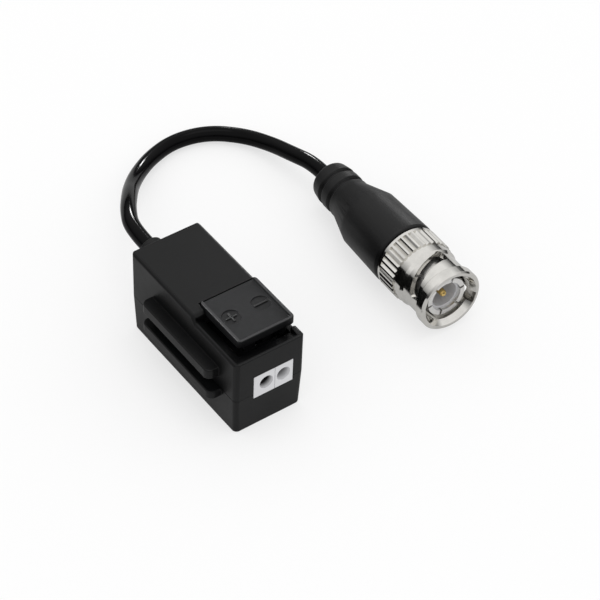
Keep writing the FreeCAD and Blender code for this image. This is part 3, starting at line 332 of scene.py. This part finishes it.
class MaterialDraft(Wiring):
    """A material with its shader, ready to be wired up."""

    def __init__(self, name: str) -> None:
        """Make the material and keep its shader."""
        self.material = bpy.data.materials.new(name)
        self.material.use_nodes = True
        self.tree = self.material.node_tree
        self.shader = self.tree.nodes["Principled BSDF"]

    def effect(self, group: bpy.types.ShaderNodeTree, **values: Any) -> bpy.types.Node:
        """Place a shared effect with this material's own values.

        Args:
            group: the shader node group.
            values: input values by name, with _ for a space.

        Returns:
            The group node.
        """
        made = self.node("ShaderNodeGroup", node_tree=group)
        for name, value in values.items():
            made.inputs[name.replace("_", " ")].default_value = value
        return made

    def colour(self, mask: bpy.types.NodeSocket, low: Colour, high: Colour) -> bpy.types.NodeSocket:
        """Blend two colours by a mask.

        Args:
            mask: value from 0 to 1 over the surface.
            low: colour where the mask is 0.
            high: colour where the mask is 1.

        Returns:
            The blended colour.
        """
        blend = self.node("ShaderNodeMix", data_type="RGBA")
        blend.inputs[6].default_value = (*low, 1.0)
        blend.inputs[7].default_value = (*high, 1.0)
        self.link(mask, blend.inputs[0])
        return blend.outputs[2]

    def overlay(self, base: bpy.types.NodeSocket, mask: bpy.types.NodeSocket,
                high: Colour) -> bpy.types.NodeSocket:
        """Blend a second colour over a first one.

        Args:
            base: colour under the mask.
            mask: value from 0 to 1 over the surface.
            high: colour where the mask is 1.

        Returns:
            The blended colour.
        """
        blend = self.node("ShaderNodeMix", data_type="RGBA")
        blend.inputs[7].default_value = (*high, 1.0)
        self.link(base, blend.inputs[6])
        self.link(mask, blend.inputs[0])
        return blend.outputs[2]

    def bump(self, height: bpy.types.NodeSocket, depth: float, strength: float) -> None:
        """Feed a height into the shader's normal.

        Args:
            height: value that varies over the surface.
            depth: depth of the relief in metres.
            strength: share of the relief that shows.
        """
        relief = self.node("ShaderNodeBump")
        relief.inputs["Strength"].default_value = strength
        relief.inputs["Distance"].default_value = depth
        self.link(height, relief.inputs["Height"])
        self.link(relief.outputs["Normal"], self.shader.inputs["Normal"])


@dataclass(frozen=True)
class MouldedFinish:
    """Moulded plastic or rubber with grain, slow sheen changes, lightened edges that are partly polish from
    use and partly painted highlight, and a painted highlight on its highest band where one is given.
    """

    name: str
    base: Colour
    tone: Tone
    spread: float = 0.08
    tint: float = 1.25
    grain_scale: float = GRAIN_SCALE
    grain_depth: float = GRAIN_DEPTH
    relief: float = 0.7
    # Colour factor on convex edges, partly for polish from use and partly painted highlight.
    edge: float = 2.2
    edge_reach: float = 0.57
    sheen_level: float = 0.4
    # Height band in millimetres that gets a painted highlight, and the colour painted there.
    painted_highlight: tuple[float, float] | None = None
    painted_highlight_colour: Colour = (0.022, 0.022, 0.023)

    def build(self, effects: Effects) -> bpy.types.Material:
        """Make the material.

        Args:
            effects: the shared node groups.

        Returns:
            The finished material.
        """
        draft = MaterialDraft(self.name)
        draft.shader.inputs["Specular IOR Level"].default_value = self.sheen_level
        grain = draft.effect(effects.grain, Grain_Scale=self.grain_scale,
                             Smooth=self.tone.value - self.spread / 2,
                             Rough=self.tone.value + self.spread / 2)
        # Convex edges lightened: partly polish from use, partly painted highlight.
        polish_and_highlight = draft.effect(effects.edge_polish_and_highlight, Reach=self.edge_reach)
        low = tuple(channel / self.tint for channel in self.base)
        high = tuple(min(channel * self.tint, 1.0) for channel in self.base)
        polished_and_highlit = tuple(min(channel * self.edge, 1.0) for channel in self.base)
        body = draft.colour(grain.outputs["Tint"], low, high)
        body = draft.overlay(body, polish_and_highlight.outputs["Mask"], polished_and_highlit)
        # Painted highlight on the highest band of the piece.
        if self.painted_highlight:
            top_highlight = draft.effect(effects.painted_highlight, Low=self.painted_highlight[0] * MM, High=self.painted_highlight[1] * MM)
            body = draft.overlay(body, top_highlight.outputs["Mask"], self.painted_highlight_colour)
        draft.link(body, draft.shader.inputs["Base Color"])
        draft.link(grain.outputs["Roughness"], draft.shader.inputs["Roughness"])
        draft.bump(grain.outputs["Height"], self.grain_depth, self.relief)
        return draft.material


@dataclass(frozen=True)
class TerminalFinish:
    """Pale moulded plastic with painted shade in its wire entries, darker towards the clamps."""

    name: str
    base: Colour = (0.65, 0.65, 0.665)
    # Painted shade in the wire entries: its colour, where it starts and where it is full along Y, and the
    # share of it in the entry past a place along X; places in millimetres.
    deep: Colour = (0.012, 0.012, 0.013)
    mouth: float = -16.5
    clamp: float = -15.7
    shut_entry: float = 1.13
    shut_share: float = 0.5
    smooth: float = 0.38
    rough: float = 0.46
    shade: float = 0.97
    relief: float = 0.7

    def build(self, effects: Effects) -> bpy.types.Material:
        """Make the material.

        Args:
            effects: the shared node groups.

        Returns:
            The finished material.
        """
        draft = MaterialDraft(self.name)
        grain = draft.effect(effects.grain, Grain_Scale=GRAIN_SCALE, Smooth=self.smooth,
                             Rough=self.rough)
        # Painted shade that darkens the wire entries towards the clamps.
        depth = draft.effect(effects.depth, Mouth=self.mouth * MM, Clamp=self.clamp * MM,
                             Shut_Entry=self.shut_entry * MM, Shut_Share=self.shut_share)
        low = tuple(channel * self.shade for channel in self.base)
        body = draft.colour(grain.outputs["Tint"], low, self.base)
        draft.link(draft.overlay(body, depth.outputs["Mask"], self.deep), draft.shader.inputs["Base Color"])
        draft.link(grain.outputs["Roughness"], draft.shader.inputs["Roughness"])
        draft.bump(grain.outputs["Height"], GRAIN_DEPTH, self.relief)
        return draft.material


@dataclass(frozen=True)
class PlatedFinish:
    """Plated or bare metal with turning marks and a faint film."""

    name: str
    plating: Plating
    axis: Point
    smooth: float
    rough: float
    mark_depth: float = 0.0000012
    film_shade: float = 0.86
    relief: float = 0.6

    def build(self, effects: Effects) -> bpy.types.Material:
        """Make the material.

        Args:
            effects: the shared node groups.

        Returns:
            The finished material.
        """
        draft = MaterialDraft(self.name)
        marks = draft.effect(effects.turning, Axis=self.axis, Smooth=self.smooth, Rough=self.rough)
        bright = self.plating.value
        dull = tuple(channel * self.film_shade for channel in bright)
        draft.link(draft.colour(marks.outputs["Tarnish"], bright, dull), draft.shader.inputs["Base Color"])
        draft.link(marks.outputs["Roughness"], draft.shader.inputs["Roughness"])
        draft.shader.inputs["Metallic"].default_value = 1.0
        draft.bump(marks.outputs["Height"], self.mark_depth, self.relief)
        return draft.material


@dataclass(frozen=True)
class BoardFinish:
    """Solder mask over woven laminate, with the tracks showing through."""

    name: str
    mask: Colour = (0.012, 0.085, 0.035)
    track: Colour = (0.03, 0.17, 0.07)
    track_scale: float = 300.0
    track_width: float = 0.06
    track_depth: float = 0.00003
    weave_scale: float = 2500.0
    smooth: float = 0.22
    rough: float = 0.34
    relief: float = 0.5

    def build(self, effects: Effects) -> bpy.types.Material:
        """Make the material.

        Args:
            effects: the shared node groups.

        Returns:
            The finished material.
        """
        draft = MaterialDraft(self.name)
        place = draft.node("ShaderNodeTexCoord")
        tracks = draft.node("ShaderNodeTexBrick")
        tracks.inputs["Scale"].default_value = self.track_scale
        tracks.inputs["Mortar Size"].default_value = self.track_width
        tracks.inputs["Color1"].default_value = (0.0, 0.0, 0.0, 1.0)
        tracks.inputs["Color2"].default_value = (0.0, 0.0, 0.0, 1.0)
        tracks.inputs["Mortar"].default_value = (1.0, 1.0, 1.0, 1.0)
        draft.link(place.outputs["Object"], tracks.inputs["Vector"])
        shown = draft.colour(tracks.outputs["Fac"], self.mask, self.track)
        draft.link(shown, draft.shader.inputs["Base Color"])
        grain = draft.effect(effects.grain, Grain_Scale=self.weave_scale, Smooth=self.smooth,
                             Rough=self.rough)
        draft.link(grain.outputs["Roughness"], draft.shader.inputs["Roughness"])
        draft.bump(tracks.outputs["Fac"], self.track_depth, self.relief)
        return draft.material


@dataclass(frozen=True)
class SinteredFinish:
    """Dull fired ceramic or ferrite with open pores."""

    name: str
    base: Colour
    roughness: float = 0.5
    spread: float = 0.1
    pore_scale: float = 3600.0
    pore_depth: float = 0.00003
    pore_shade: float = 0.8
    relief: float = 0.6

    def build(self, effects: Effects) -> bpy.types.Material:
        """Make the material.

        Args:
            effects: the shared node groups.

        Returns:
            The finished material.
        """
        draft = MaterialDraft(self.name)
        grain = draft.effect(effects.grain, Grain_Scale=self.pore_scale, Smooth=self.roughness - self.spread,
                             Rough=self.roughness + self.spread)
        low = tuple(channel * self.pore_shade for channel in self.base)
        draft.link(draft.colour(grain.outputs["Height"], low, self.base), draft.shader.inputs["Base Color"])
        draft.link(grain.outputs["Roughness"], draft.shader.inputs["Roughness"])
        draft.bump(grain.outputs["Height"], self.pore_depth, self.relief)
        return draft.material


def edge_softener(node: bpy.types.Object, width: float, degrees: float = SHARP_DEGREES,
                  rings: int = 2) -> None:
    """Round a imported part's sharp edges for the render.

    Args:
        node: the part.
        width: width of the rounding in millimetres.
        degrees: edges that turn by less stay as they are.
        rings: faces across the rounding.
    """
    weld = node.modifiers.new("join", "WELD")
    weld.merge_threshold = WELD_DISTANCE
    flats = node.modifiers.new("flats", "DECIMATE")
    flats.decimate_type = "DISSOLVE"
    flats.angle_limit = math.radians(FLAT_DEGREES)
    bevel = node.modifiers.new("soften", "BEVEL")
    bevel.width = width * MM
    bevel.segments = rings
    bevel.limit_method = "ANGLE"
    bevel.angle_limit = math.radians(degrees)
    bevel.use_clamp_overlap = False
    bevel.miter_outer = "MITER_ARC"
    smooth = node.modifiers.new("even", "WEIGHTED_NORMAL")
    smooth.mode = "FACE_AREA"
    smooth.weight = EVENNESS


def paint(nodes: dict[str, bpy.types.Object], names: tuple[str, ...], material: bpy.types.Material) -> None:
    """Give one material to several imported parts.

    Args:
        nodes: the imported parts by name.
        names: the parts to paint.
        material: their finish.
    """
    for name in names:
        slots = nodes[name].material_slots
        if slots:
            for slot in slots:
                slot.material = material
        else:
            nodes[name].data.materials.append(material)
        log.info("painted %s with %s", name, material.name)


@dataclass
class Housing:
    """Upper and lower shell of the body."""

    edge_width: float = 0.11
    finish: MouldedFinish = MouldedFinish("housing_plastic", (0.0018, 0.0019, 0.0021), Tone.SATIN,
                                          sheen_level=0.22)

    def dress(self, nodes: dict[str, bpy.types.Object], effects: Effects) -> None:
        """Paint and soften the shells.

        Args:
            nodes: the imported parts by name.
            effects: the shared node groups.
        """
        paint(nodes, SHELL_PIECES, self.finish.build(effects))
        for name in SHELL_PIECES:
            edge_softener(nodes[name], self.edge_width)


@dataclass
class PressLever:
    """Lever over the wire terminal, with its two raised polarity marks."""

    edge_width: float = 0.19
    edge_rings: int = 3
    disc_edge_width: float = 0.05
    disc_edge_rings: int = 1
    disc_reach: float = 2.3
    disc_floor: float = 18.7
    deep_drop: float = 2.2
    hinge_side: float = -3.6
    mark_place: float = -7.2
    plus_place: float = -1.775
    minus_place: float = 4.625
    minus_length: float = 2.8
    plus_length: float = 2.3
    line_width: float = 0.36
    line_height: float = 0.26
    line_round: float = 0.09
    line_sink: float = 0.02
    # The top of the lever's rim gets a painted highlight.
    finish: MouldedFinish = MouldedFinish("lever_plastic", (0.0032, 0.0033, 0.0036), Tone.SATIN, spread=0.1,
                                          sheen_level=0.25, painted_highlight=(19.34, 19.4))
    # The marks get a lighter copy of the lever's plastic as painted highlight.
    lit_mark_finish: MouldedFinish = MouldedFinish("mark_plastic_highlit", (0.0055, 0.0056, 0.0058), Tone.SATIN,
                                               spread=0.1, sheen_level=0.35)

    def dress(self, nodes: dict[str, bpy.types.Object], effects: Effects) -> None:
        """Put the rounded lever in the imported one's place and add its marks.

        Args:
            nodes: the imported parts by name.
            effects: the shared node groups.
        """
        material = self.finish.build(effects)
        plate = self._plate(nodes["press_lever"])
        plate.data.materials.clear()
        plate.data.materials.append(material)
        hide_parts("press_lever")
        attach(plate, "lever")
        plus = self._mark("mark_plus", self.plus_place, ((self.plus_length, 0.0), (self.plus_length, 90.0)))
        minus = self._mark("mark_minus", self.minus_place, ((self.minus_length, 0.0),))
        # Painted highlight: the marks are lighter than the lever.
        raised = self.lit_mark_finish.build(effects)
        for mark in (plus, minus):
            mark.data.materials.append(raised)
            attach(mark, "lever")
            log.info("added %s", mark.name)

    def _plate(self, node: bpy.types.Object) -> bpy.types.Object:
        """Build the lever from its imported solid, with wide outer and crisp inner roundings.

        Args:
            node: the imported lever.

        Returns:
            The rounded lever.
        """
        shape = bmesh.new()
        shape.from_mesh(node.data)
        bmesh.ops.remove_doubles(shape, verts=shape.verts, dist=WELD_DISTANCE)
        bmesh.ops.dissolve_limit(shape, angle_limit=math.radians(FLAT_DEGREES), verts=shape.verts,
                                 edges=shape.edges)
        inner, outer = [], []
        for edge in shape.edges:
            if self._in_shell(edge):
                continue
            if edge.is_manifold and edge.calc_face_angle() > math.radians(SHARP_DEGREES):
                (inner if self._near_disc(edge) else outer).append(edge)
        for edges, width, rings in ((outer, self.edge_width, self.edge_rings),
                                    (inner, self.disc_edge_width, self.disc_edge_rings)):
            live = [edge for edge in edges if edge.is_valid]
            bmesh.ops.bevel(shape, geom=live, offset=width * MM, segments=rings, profile=0.5, affect="EDGES",
                            clamp_overlap=False)
        for edge in shape.edges:
            edge.smooth = not edge.is_manifold or edge.calc_face_angle() < math.radians(CREASE_DEGREES)
        plate = mesh_object("lever_plate", shape)
        even = plate.modifiers.new("even", "WEIGHTED_NORMAL")
        even.weight = EVENNESS
        even.keep_sharp = True
        return plate

    def _in_shell(self, edge: bmesh.types.BMEdge) -> bool:
        """Whether an edge touches the hinge's end under the shell; such edges stay as packed."""
        return any(corner.co.y > self.hinge_side * MM and corner.co.z < self.disc_floor * MM
                   for corner in edge.verts)

    def _near_disc(self, edge: bmesh.types.BMEdge) -> bool:
        """Whether an edge belongs to a recessed disc or lies too deep for a wide rounding."""
        middle = (edge.verts[0].co + edge.verts[1].co) / 2 / MM
        if middle.z < self.disc_floor - self.deep_drop:
            return True
        return any(math.hypot(middle.x - place, middle.y - self.mark_place) < self.disc_reach
                   for place in (self.plus_place, self.minus_place))

    def _mark(self, name: str, place: float, lines: tuple[tuple[float, float], ...]) -> bpy.types.Object:
        """Build one mark from rounded raised lines.

        Args:
            name: name of the piece.
            place: middle of the mark along X, in millimetres.
            lines: length and direction in degrees of each line.

        Returns:
            The mark.
        """
        shape = bmesh.new()
        centre = Matrix.Translation(Vector((place, self.mark_place, self.disc_floor)) * MM)
        for length, degrees in lines:
            made = bmesh.ops.create_cube(shape, size=1.0)["verts"]
            sized = Matrix.Diagonal((length * MM, self.line_width * MM, self.line_height * MM, 1.0))
            lifted = Matrix.Translation(Vector((0.0, 0.0, self.line_height / 2 - self.line_sink)) * MM)
            turned = Matrix.Rotation(math.radians(degrees), 4, "Z")
            bmesh.ops.transform(shape, matrix=centre @ turned @ lifted @ sized, verts=made)
        bmesh.ops.bevel(shape, geom=list(shape.edges), offset=self.line_round * MM, segments=2, profile=0.6,
                        affect="EDGES")
        return mesh_object(name, shape)


def mesh_object(name: str, shape: bmesh.types.BMesh) -> bpy.types.Object:
    """Turn a working mesh into a smooth shaded piece.

    Args:
        name: name of the piece.
        shape: the working mesh, which is freed.

    Returns:
        The new piece.
    """
    data = bpy.data.meshes.new(name)
    shape.to_mesh(data)
    shape.free()
    data.shade_smooth()
    made = bpy.data.objects.new(name, data)
    bpy.context.scene.collection.objects.link(made)
    return made


@dataclass(frozen=True)
class PressedSpring:
    """Copy of an imported spring, with the joint that presses on it and its axis, fixed end and kept share.
    """

    node: str
    joint: str
    axis: Point
    anchor: Point
    keep: float

    def build(self, nodes: dict[str, bpy.types.Object], material: bpy.types.Material) -> None:
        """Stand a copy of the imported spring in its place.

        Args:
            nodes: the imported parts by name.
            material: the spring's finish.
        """
        packed = nodes[self.node]
        spring = bpy.data.objects.new(f"pressed_{self.node}", packed.data.copy())
        bpy.context.scene.collection.objects.link(spring)
        spring.matrix_world = packed.matrix_world.copy()
        spring.data.materials.clear()
        spring.data.materials.append(material)
        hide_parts(self.node)
        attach(spring, "root")
        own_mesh(spring)
        log.info("added %s, pressed by %s", spring.name, self.joint)


@dataclass
class WireTerminal:
    """Light grey terminal with its springs and contact bars."""

    finish: TerminalFinish = TerminalFinish("terminal_plastic")
    springs: tuple[PressedSpring, ...] = (
        PressedSpring("clamp_spring_plus", "lever_press", UPWARD, CLAMP_SEAT, CLAMP_KEEP),
        PressedSpring("clamp_spring_minus", "lever_press", UPWARD, CLAMP_SEAT, CLAMP_KEEP),
        PressedSpring("spring_washer", "coupling_pull", PLUG_FORWARD, WASHER_SEAT, WASHER_KEEP),
    )

    def dress(self, nodes: dict[str, bpy.types.Object], effects: Effects) -> None:
        """Paint the terminal and what is inside it.

        Args:
            nodes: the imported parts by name.
            effects: the shared node groups.
        """
        paint(nodes, ("terminal_block",), self.finish.build(effects))
        tin = PlatedFinish("tinned_contact", Plating.TIN, (1.0, 0.0, 0.0), 0.24, 0.36)
        paint(nodes, ("contact_bar_plus", "contact_bar_minus", "ground_wire", "thrust_washer"),
              tin.build(effects))
        steel = PlatedFinish("spring_steel", Plating.STEEL, (0.0, 1.0, 0.0), 0.2, 0.34)
        spring_steel = steel.build(effects)
        paint(nodes, ("hinge_pin",), spring_steel)
        for spring in self.springs:
            spring.build(nodes, spring_steel)


@dataclass
class Electronics:
    """Board, transformer and small components inside the housing."""

    board: BoardFinish = BoardFinish("solder_mask")
    ferrite: SinteredFinish = SinteredFinish("ferrite", (0.045, 0.045, 0.048))
    blue: SinteredFinish = SinteredFinish("disc_coating", (0.03, 0.10, 0.38), 0.3)
    cream: SinteredFinish = SinteredFinish("fired_cream", (0.72, 0.66, 0.52), 0.35)

    def dress(self, nodes: dict[str, bpy.types.Object], effects: Effects) -> None:
        """Paint the board and its components.

        Args:
            nodes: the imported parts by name.
            effects: the shared node groups.
        """
        paint(nodes, ("circuit_board",), self.board.build(effects))
        paint(nodes, ("transformer_core",), self.ferrite.build(effects))
        paint(nodes, ("filter_capacitor",), self.blue.build(effects))
        paint(nodes, ("surge_suppressor", "chip_parts"), self.cream.build(effects))
        copper = PlatedFinish("enamelled_copper", Plating.COPPER, (0.0, 0.0, 1.0), 0.2, 0.3)
        paint(nodes, ("winding_line", "winding_coax"), copper.build(effects))


@dataclass
class Pigtail:
    """Free coaxial cord from the gland to the plug's boot."""

    diameter: float = 3.2
    real_length: float = 88.0
    steps_along: int = 14
    steps_round: int = 9
    route: tuple[Point, ...] = (
        (0.0, 22.2, 12.1), (0.0, 28.4, 12.05), (2.8, 34.1, 10.9), (6.6, 39.7, 8.4), (10.25, 44.75, 5.4),
        (14.75, 49.5, 3.1), (20.5, 53.4, 1.9), (27.25, 55.3, 1.65), (34.5, 53.7, 1.65), (39.95, 48.7, 1.8),
        (42.4, 42.3, 2.9), (43.0, 35.9, 4.6), (44.055, 29.966, 5.762), (43.736, 24.678, 5.947),
    )
    jacket: MouldedFinish = MouldedFinish("cord_jacket", (0.002, 0.002, 0.0022), Tone.POLISHED, spread=0.05,
                                          grain_scale=2600.0, grain_depth=0.000008, sheen_level=0.07)

    def build(self) -> bpy.types.Object:
        """Make the cord as one smooth curve.

        Returns:
            The cord.
        """
        line = bpy.data.curves.new("pigtail_cord", "CURVE")
        line.dimensions = "3D"
        line.resolution_u = self.steps_along
        line.bevel_depth = self.diameter / 2 * MM
        line.bevel_resolution = self.steps_round
        line.use_fill_caps = True
        spline = line.splines.new("NURBS")
        spline.points.add(len(self.route) - 1)
        for point, place in zip(spline.points, self.route):
            point.co = (*(value * MM for value in place), 1.0)
        spline.order_u = 3
        spline.use_endpoint_u = True
        cord = bpy.data.objects.new("pigtail_cord", line)
        bpy.context.scene.collection.objects.link(cord)
        return cord

    def dress(self, cord: bpy.types.Object, nodes: dict[str, bpy.types.Object], effects: Effects,
              plug_parts: tuple[str, ...]) -> None:
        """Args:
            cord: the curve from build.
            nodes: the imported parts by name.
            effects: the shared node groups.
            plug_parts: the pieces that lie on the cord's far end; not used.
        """
        material = self.jacket.build(effects)
        cord.data.materials.append(material)
        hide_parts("cord")
        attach(cord, "root")
        paint(nodes, ("cable_lead",), material)
        log.info("laid the cord")


@dataclass
class CoaxPlug:
    """Bayonet plug with its boot on the cord's end."""

    axis: Point = (0.060, 0.998, -0.035)
    gland_edge: float = 0.07
    gland_degrees: float = 30.0
    boot_edge: float = 0.35
    boot_degrees: float = 22.0
    boot_rings: int = 3
    parts: tuple[str, ...] = ("plug_boot", "rear_body", "crimp_ferrule", "coupling_sleeve", "plug_body",
                              "plug_insulator", "centre_pin", "sealing_ring", "thrust_washer",
                              "pressed_spring_washer")
    boot: MouldedFinish = MouldedFinish("boot_rubber", (0.0028, 0.0028, 0.003), Tone.SATIN, spread=0.08,
                                        grain_scale=3800.0, grain_depth=0.00002, sheen_level=0.3)
    insulator: MouldedFinish = MouldedFinish("insulator_plastic", (0.50, 0.50, 0.51), Tone.MATTE, spread=0.06,
                                             tint=1.03, edge=1.05, sheen_level=0.2)
    seal: MouldedFinish = MouldedFinish("seal_rubber", (0.05, 0.05, 0.05), Tone.MATTE)

    def dress(self, nodes: dict[str, bpy.types.Object], effects: Effects) -> None:
        """Paint the plug's parts.

        Args:
            nodes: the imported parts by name.
            effects: the shared node groups.
        """
        sleeve = PlatedFinish("bright_nickel", Plating.NICKEL, self.axis, 0.09, 0.17)
        contact = PlatedFinish("satin_nickel", Plating.SATIN_NICKEL, self.axis, 0.3, 0.4)
        gold = PlatedFinish("gilding", Plating.GOLD, self.axis, 0.14, 0.24)
        rubber = self.boot.build(effects)
        paint(nodes, ("coupling_sleeve",), sleeve.build(effects))
        paint(nodes, ("plug_body", "rear_body", "crimp_ferrule"), contact.build(effects))
        paint(nodes, ("centre_pin",), gold.build(effects))
        paint(nodes, ("plug_insulator", "signal_wire"), self.insulator.build(effects))
        paint(nodes, ("sealing_ring",), self.seal.build(effects))
        paint(nodes, ("plug_boot", "cable_gland"), rubber)
        edge_softener(nodes["plug_boot"], self.boot_edge, self.boot_degrees, self.boot_rings)
        edge_softener(nodes["cable_gland"], self.gland_edge, self.gland_degrees)


@dataclass
class Camera:
    """Camera at the photograph's place, in millimetres and pixels; its clip range is in metres."""

    place: Point = (-165.66, -239.79, 302.62)
    azimuth: float = -37.588
    elevation: float = 44.438
    roll: float = 2.594
    focal_pixels: float = 2265.55
    sensor: float = 36.0
    near: float = 0.01
    far: float = 20.0

    def build(self) -> None:
        """Make the camera and set it as the scene's."""
        azimuth = math.radians(self.azimuth)
        elevation = math.radians(self.elevation)
        roll = math.radians(self.roll)
        back = Vector((math.sin(azimuth) * math.cos(elevation), -math.cos(azimuth) * math.cos(elevation),
                       math.sin(elevation)))
        right = (-back).cross(Vector((0.0, 0.0, 1.0))).normalized()
        up = right.cross(-back)
        across = right * math.cos(roll) + up * math.sin(roll)
        upright = up * math.cos(roll) - right * math.sin(roll)
        data = bpy.data.cameras.new("camera")
        data.sensor_width = self.sensor
        data.sensor_fit = "HORIZONTAL"
        data.lens = self.focal_pixels * self.sensor / PICTURE_PIXELS
        data.clip_start = self.near
        data.clip_end = self.far
        camera = bpy.data.objects.new("camera", data)
        turn = Matrix((across, upright, back)).transposed().to_4x4()
        camera.matrix_world = Matrix.Translation(Vector(self.place) * MM) @ turn
        bpy.context.scene.collection.objects.link(camera)
        bpy.context.scene.camera = camera
        log.info("placed the camera")


@dataclass
class SoftBox:
    """One soft studio light, placed in metres."""

    name: str
    place: Point
    aim: Point
    size: float
    power: float
    falls_on: tuple[str, ...] = ()

    def build(self) -> None:
        """Make the light, point it at its aim and keep it to the pieces that it falls on."""
        data = bpy.data.lights.new(self.name, "AREA")
        data.shape = "DISK"
        data.size = self.size
        data.energy = self.power
        light = bpy.data.objects.new(self.name, data)
        place = Vector(self.place)
        toward = (Vector(self.aim) - place).to_track_quat("-Z", "Y")
        light.matrix_world = Matrix.Translation(place) @ toward.to_matrix().to_4x4()
        bpy.context.scene.collection.objects.link(light)
        if self.falls_on:
            lit = bpy.data.collections.new(self.name + "_pieces")
            for name in self.falls_on:
                lit.objects.link(bpy.data.objects[name])
            light.light_linking.receiver_collection = lit


@dataclass
class Studio:
    """Pale floor, soft lights and the room round them."""

    floor_reach: float = 3.0
    floor_sides: int = 96
    floor_roughness: float = 0.85
    floor_sheen: float = 0.1
    floor_colour: Colour = (0.34, 0.34, 0.34)
    floor_glow: float = 0.64
    mirrored_glow: float = 0.30
    room_level: float = 0.95
    mirrored_low: float = 0.02
    mirrored_high: float = 0.95
    horizon: float = 0.1
    ceiling: float = 0.6
    backdrop_colour: Colour = (0.93, 0.93, 0.93)
    boxes: tuple[SoftBox, ...] = (
        SoftBox("overhead", (0.10, 0.05, 0.80), (0.02, 0.0, 0.0), 0.50, 0.6),
        SoftBox("left_rear", (-0.36, 0.46, 0.56), (0.0, -0.01, 0.02), 0.45, 8.5, LEVER_PIECES),
        SoftBox("right_front", (0.36, -0.46, 0.56), (0.0, 0.0, 0.01), 0.30, 0.9, LEVER_PIECES + SHELL_PIECES),
        SoftBox("right_rear", (0.62, 0.45, 0.21), (0.02, 0.0, 0.01), 0.28, 1.4, LEVER_PIECES + SHELL_PIECES),
        SoftBox("boot_sheen", (0.62, 0.45, 0.26), (0.04, 0.02, 0.005), 0.28, 0.6, ("plug_boot",)),
        SoftBox("cord_glint", (0.45, 0.55, 0.24), (0.02, 0.04, 0.005), 0.10, 1.6, ("pigtail_cord",)),
    )
    flag_place: float = 27.0
    flag_ends: tuple[float, float] = (-22.0, 14.0)
    flag_height: float = 14.0
    flag_colour: Colour = (0.004, 0.004, 0.004)
    flag_roughness: float = 0.95

    def build(self) -> None:
        """Make the floor, the room and the lights."""
        self._floor()
        self._flag()
        self._room()
        for box in self.boxes:
            box.build()
        settings = bpy.context.scene.view_settings
        settings.view_transform = "Standard"
        settings.look = "None"
        log.info("built the studio")

    def _floor(self) -> None:
        """Make the floor as a wide flat disc."""
        shape = bmesh.new()
        bmesh.ops.create_circle(shape, cap_ends=True, radius=self.floor_reach, segments=self.floor_sides)
        floor = mesh_object("floor", shape)
        draft = MaterialDraft("pale_floor")
        draft.shader.inputs["Base Color"].default_value = (*self.floor_colour, 1.0)
        draft.shader.inputs["Roughness"].default_value = self.floor_roughness
        draft.shader.inputs["Specular IOR Level"].default_value = self.floor_sheen
        draft.shader.inputs["Emission Color"].default_value = (1.0, 1.0, 1.0, 1.0)
        sight = draft.node("ShaderNodeLightPath")
        glow = draft.node("ShaderNodeMapRange")
        glow.inputs["To Min"].default_value = self.floor_glow
        glow.inputs["To Max"].default_value = self.mirrored_glow
        draft.link(sight.outputs["Is Glossy Ray"], glow.inputs["Value"])
        draft.link(glow.outputs["Result"], draft.shader.inputs["Emission Strength"])
        floor.data.materials.append(draft.material)

    def _flag(self) -> None:
        """Make the black card beside the plug that only its reflections show."""
        shape = bmesh.new()
        front, rear = self.flag_ends
        corners = ((front, 0.0), (rear, 0.0), (rear, self.flag_height), (front, self.flag_height))
        shape.faces.new([shape.verts.new(Vector((self.flag_place, y, z)) * MM) for y, z in corners])
        flag = mesh_object("black_flag", shape)
        draft = MaterialDraft("flag_cloth")
        draft.shader.inputs["Base Color"].default_value = (*self.flag_colour, 1.0)
        draft.shader.inputs["Roughness"].default_value = self.flag_roughness
        draft.shader.inputs["Specular IOR Level"].default_value = 0.0
        flag.data.materials.append(draft.material)
        flag.visible_camera = flag.visible_diffuse = flag.visible_shadow = False

    def _room(self) -> None:
        """Light the room evenly, with a dark horizon under a pale ceiling in reflections."""
        world = bpy.data.worlds.new("room")
        world.use_nodes = True
        bpy.context.scene.world = world
        tree = world.node_tree
        backdrop = tree.nodes["Background"]
        backdrop.inputs["Color"].default_value = (*self.backdrop_colour, 1.0)
        around = tree.nodes.new("ShaderNodeBackground")
        around.inputs["Color"].default_value = (*[self.room_level] * 3, 1.0)
        mirrored = tree.nodes.new("ShaderNodeBackground")
        place = tree.nodes.new("ShaderNodeTexCoord")
        parts = tree.nodes.new("ShaderNodeSeparateXYZ")
        rise = tree.nodes.new("ShaderNodeMapRange")
        rise.inputs["From Min"].default_value = self.horizon
        rise.inputs["From Max"].default_value = self.ceiling
        rise.inputs["To Min"].default_value = self.mirrored_low
        rise.inputs["To Max"].default_value = self.mirrored_high
        tree.links.new(place.outputs["Generated"], parts.inputs["Vector"])
        tree.links.new(parts.outputs["Z"], rise.inputs["Value"])
        tree.links.new(rise.outputs["Result"], mirrored.inputs["Color"])
        sight = tree.nodes.new("ShaderNodeLightPath")
        unseen = tree.nodes.new("ShaderNodeMixShader")
        tree.links.new(sight.outputs["Is Glossy Ray"], unseen.inputs[0])
        tree.links.new(around.outputs[0], unseen.inputs[1])
        tree.links.new(mirrored.outputs[0], unseen.inputs[2])
        choice = tree.nodes.new("ShaderNodeMixShader")
        tree.links.new(sight.outputs["Is Camera Ray"], choice.inputs[0])
        tree.links.new(unseen.outputs[0], choice.inputs[1])
        tree.links.new(backdrop.outputs[0], choice.inputs[2])
        tree.links.new(choice.outputs[0], tree.nodes["World Output"].inputs["Surface"])


def main() -> None:
    """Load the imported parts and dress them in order."""
    logging.basicConfig(level=logging.INFO, format="%(name)s: %(message)s")
    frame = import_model()
    nodes = frame["nodes"]
    Camera().build()
    pigtail = Pigtail()
    plug = CoaxPlug()
    cord = pigtail.build()
    effects = Effects()
    Housing().dress(nodes, effects)
    PressLever().dress(nodes, effects)
    WireTerminal().dress(nodes, effects)
    pigtail.dress(cord, nodes, effects, plug.parts)
    Electronics().dress(nodes, effects)
    plug.dress(nodes, effects)
    Studio().build()


if __name__ == "__main__":
    main()
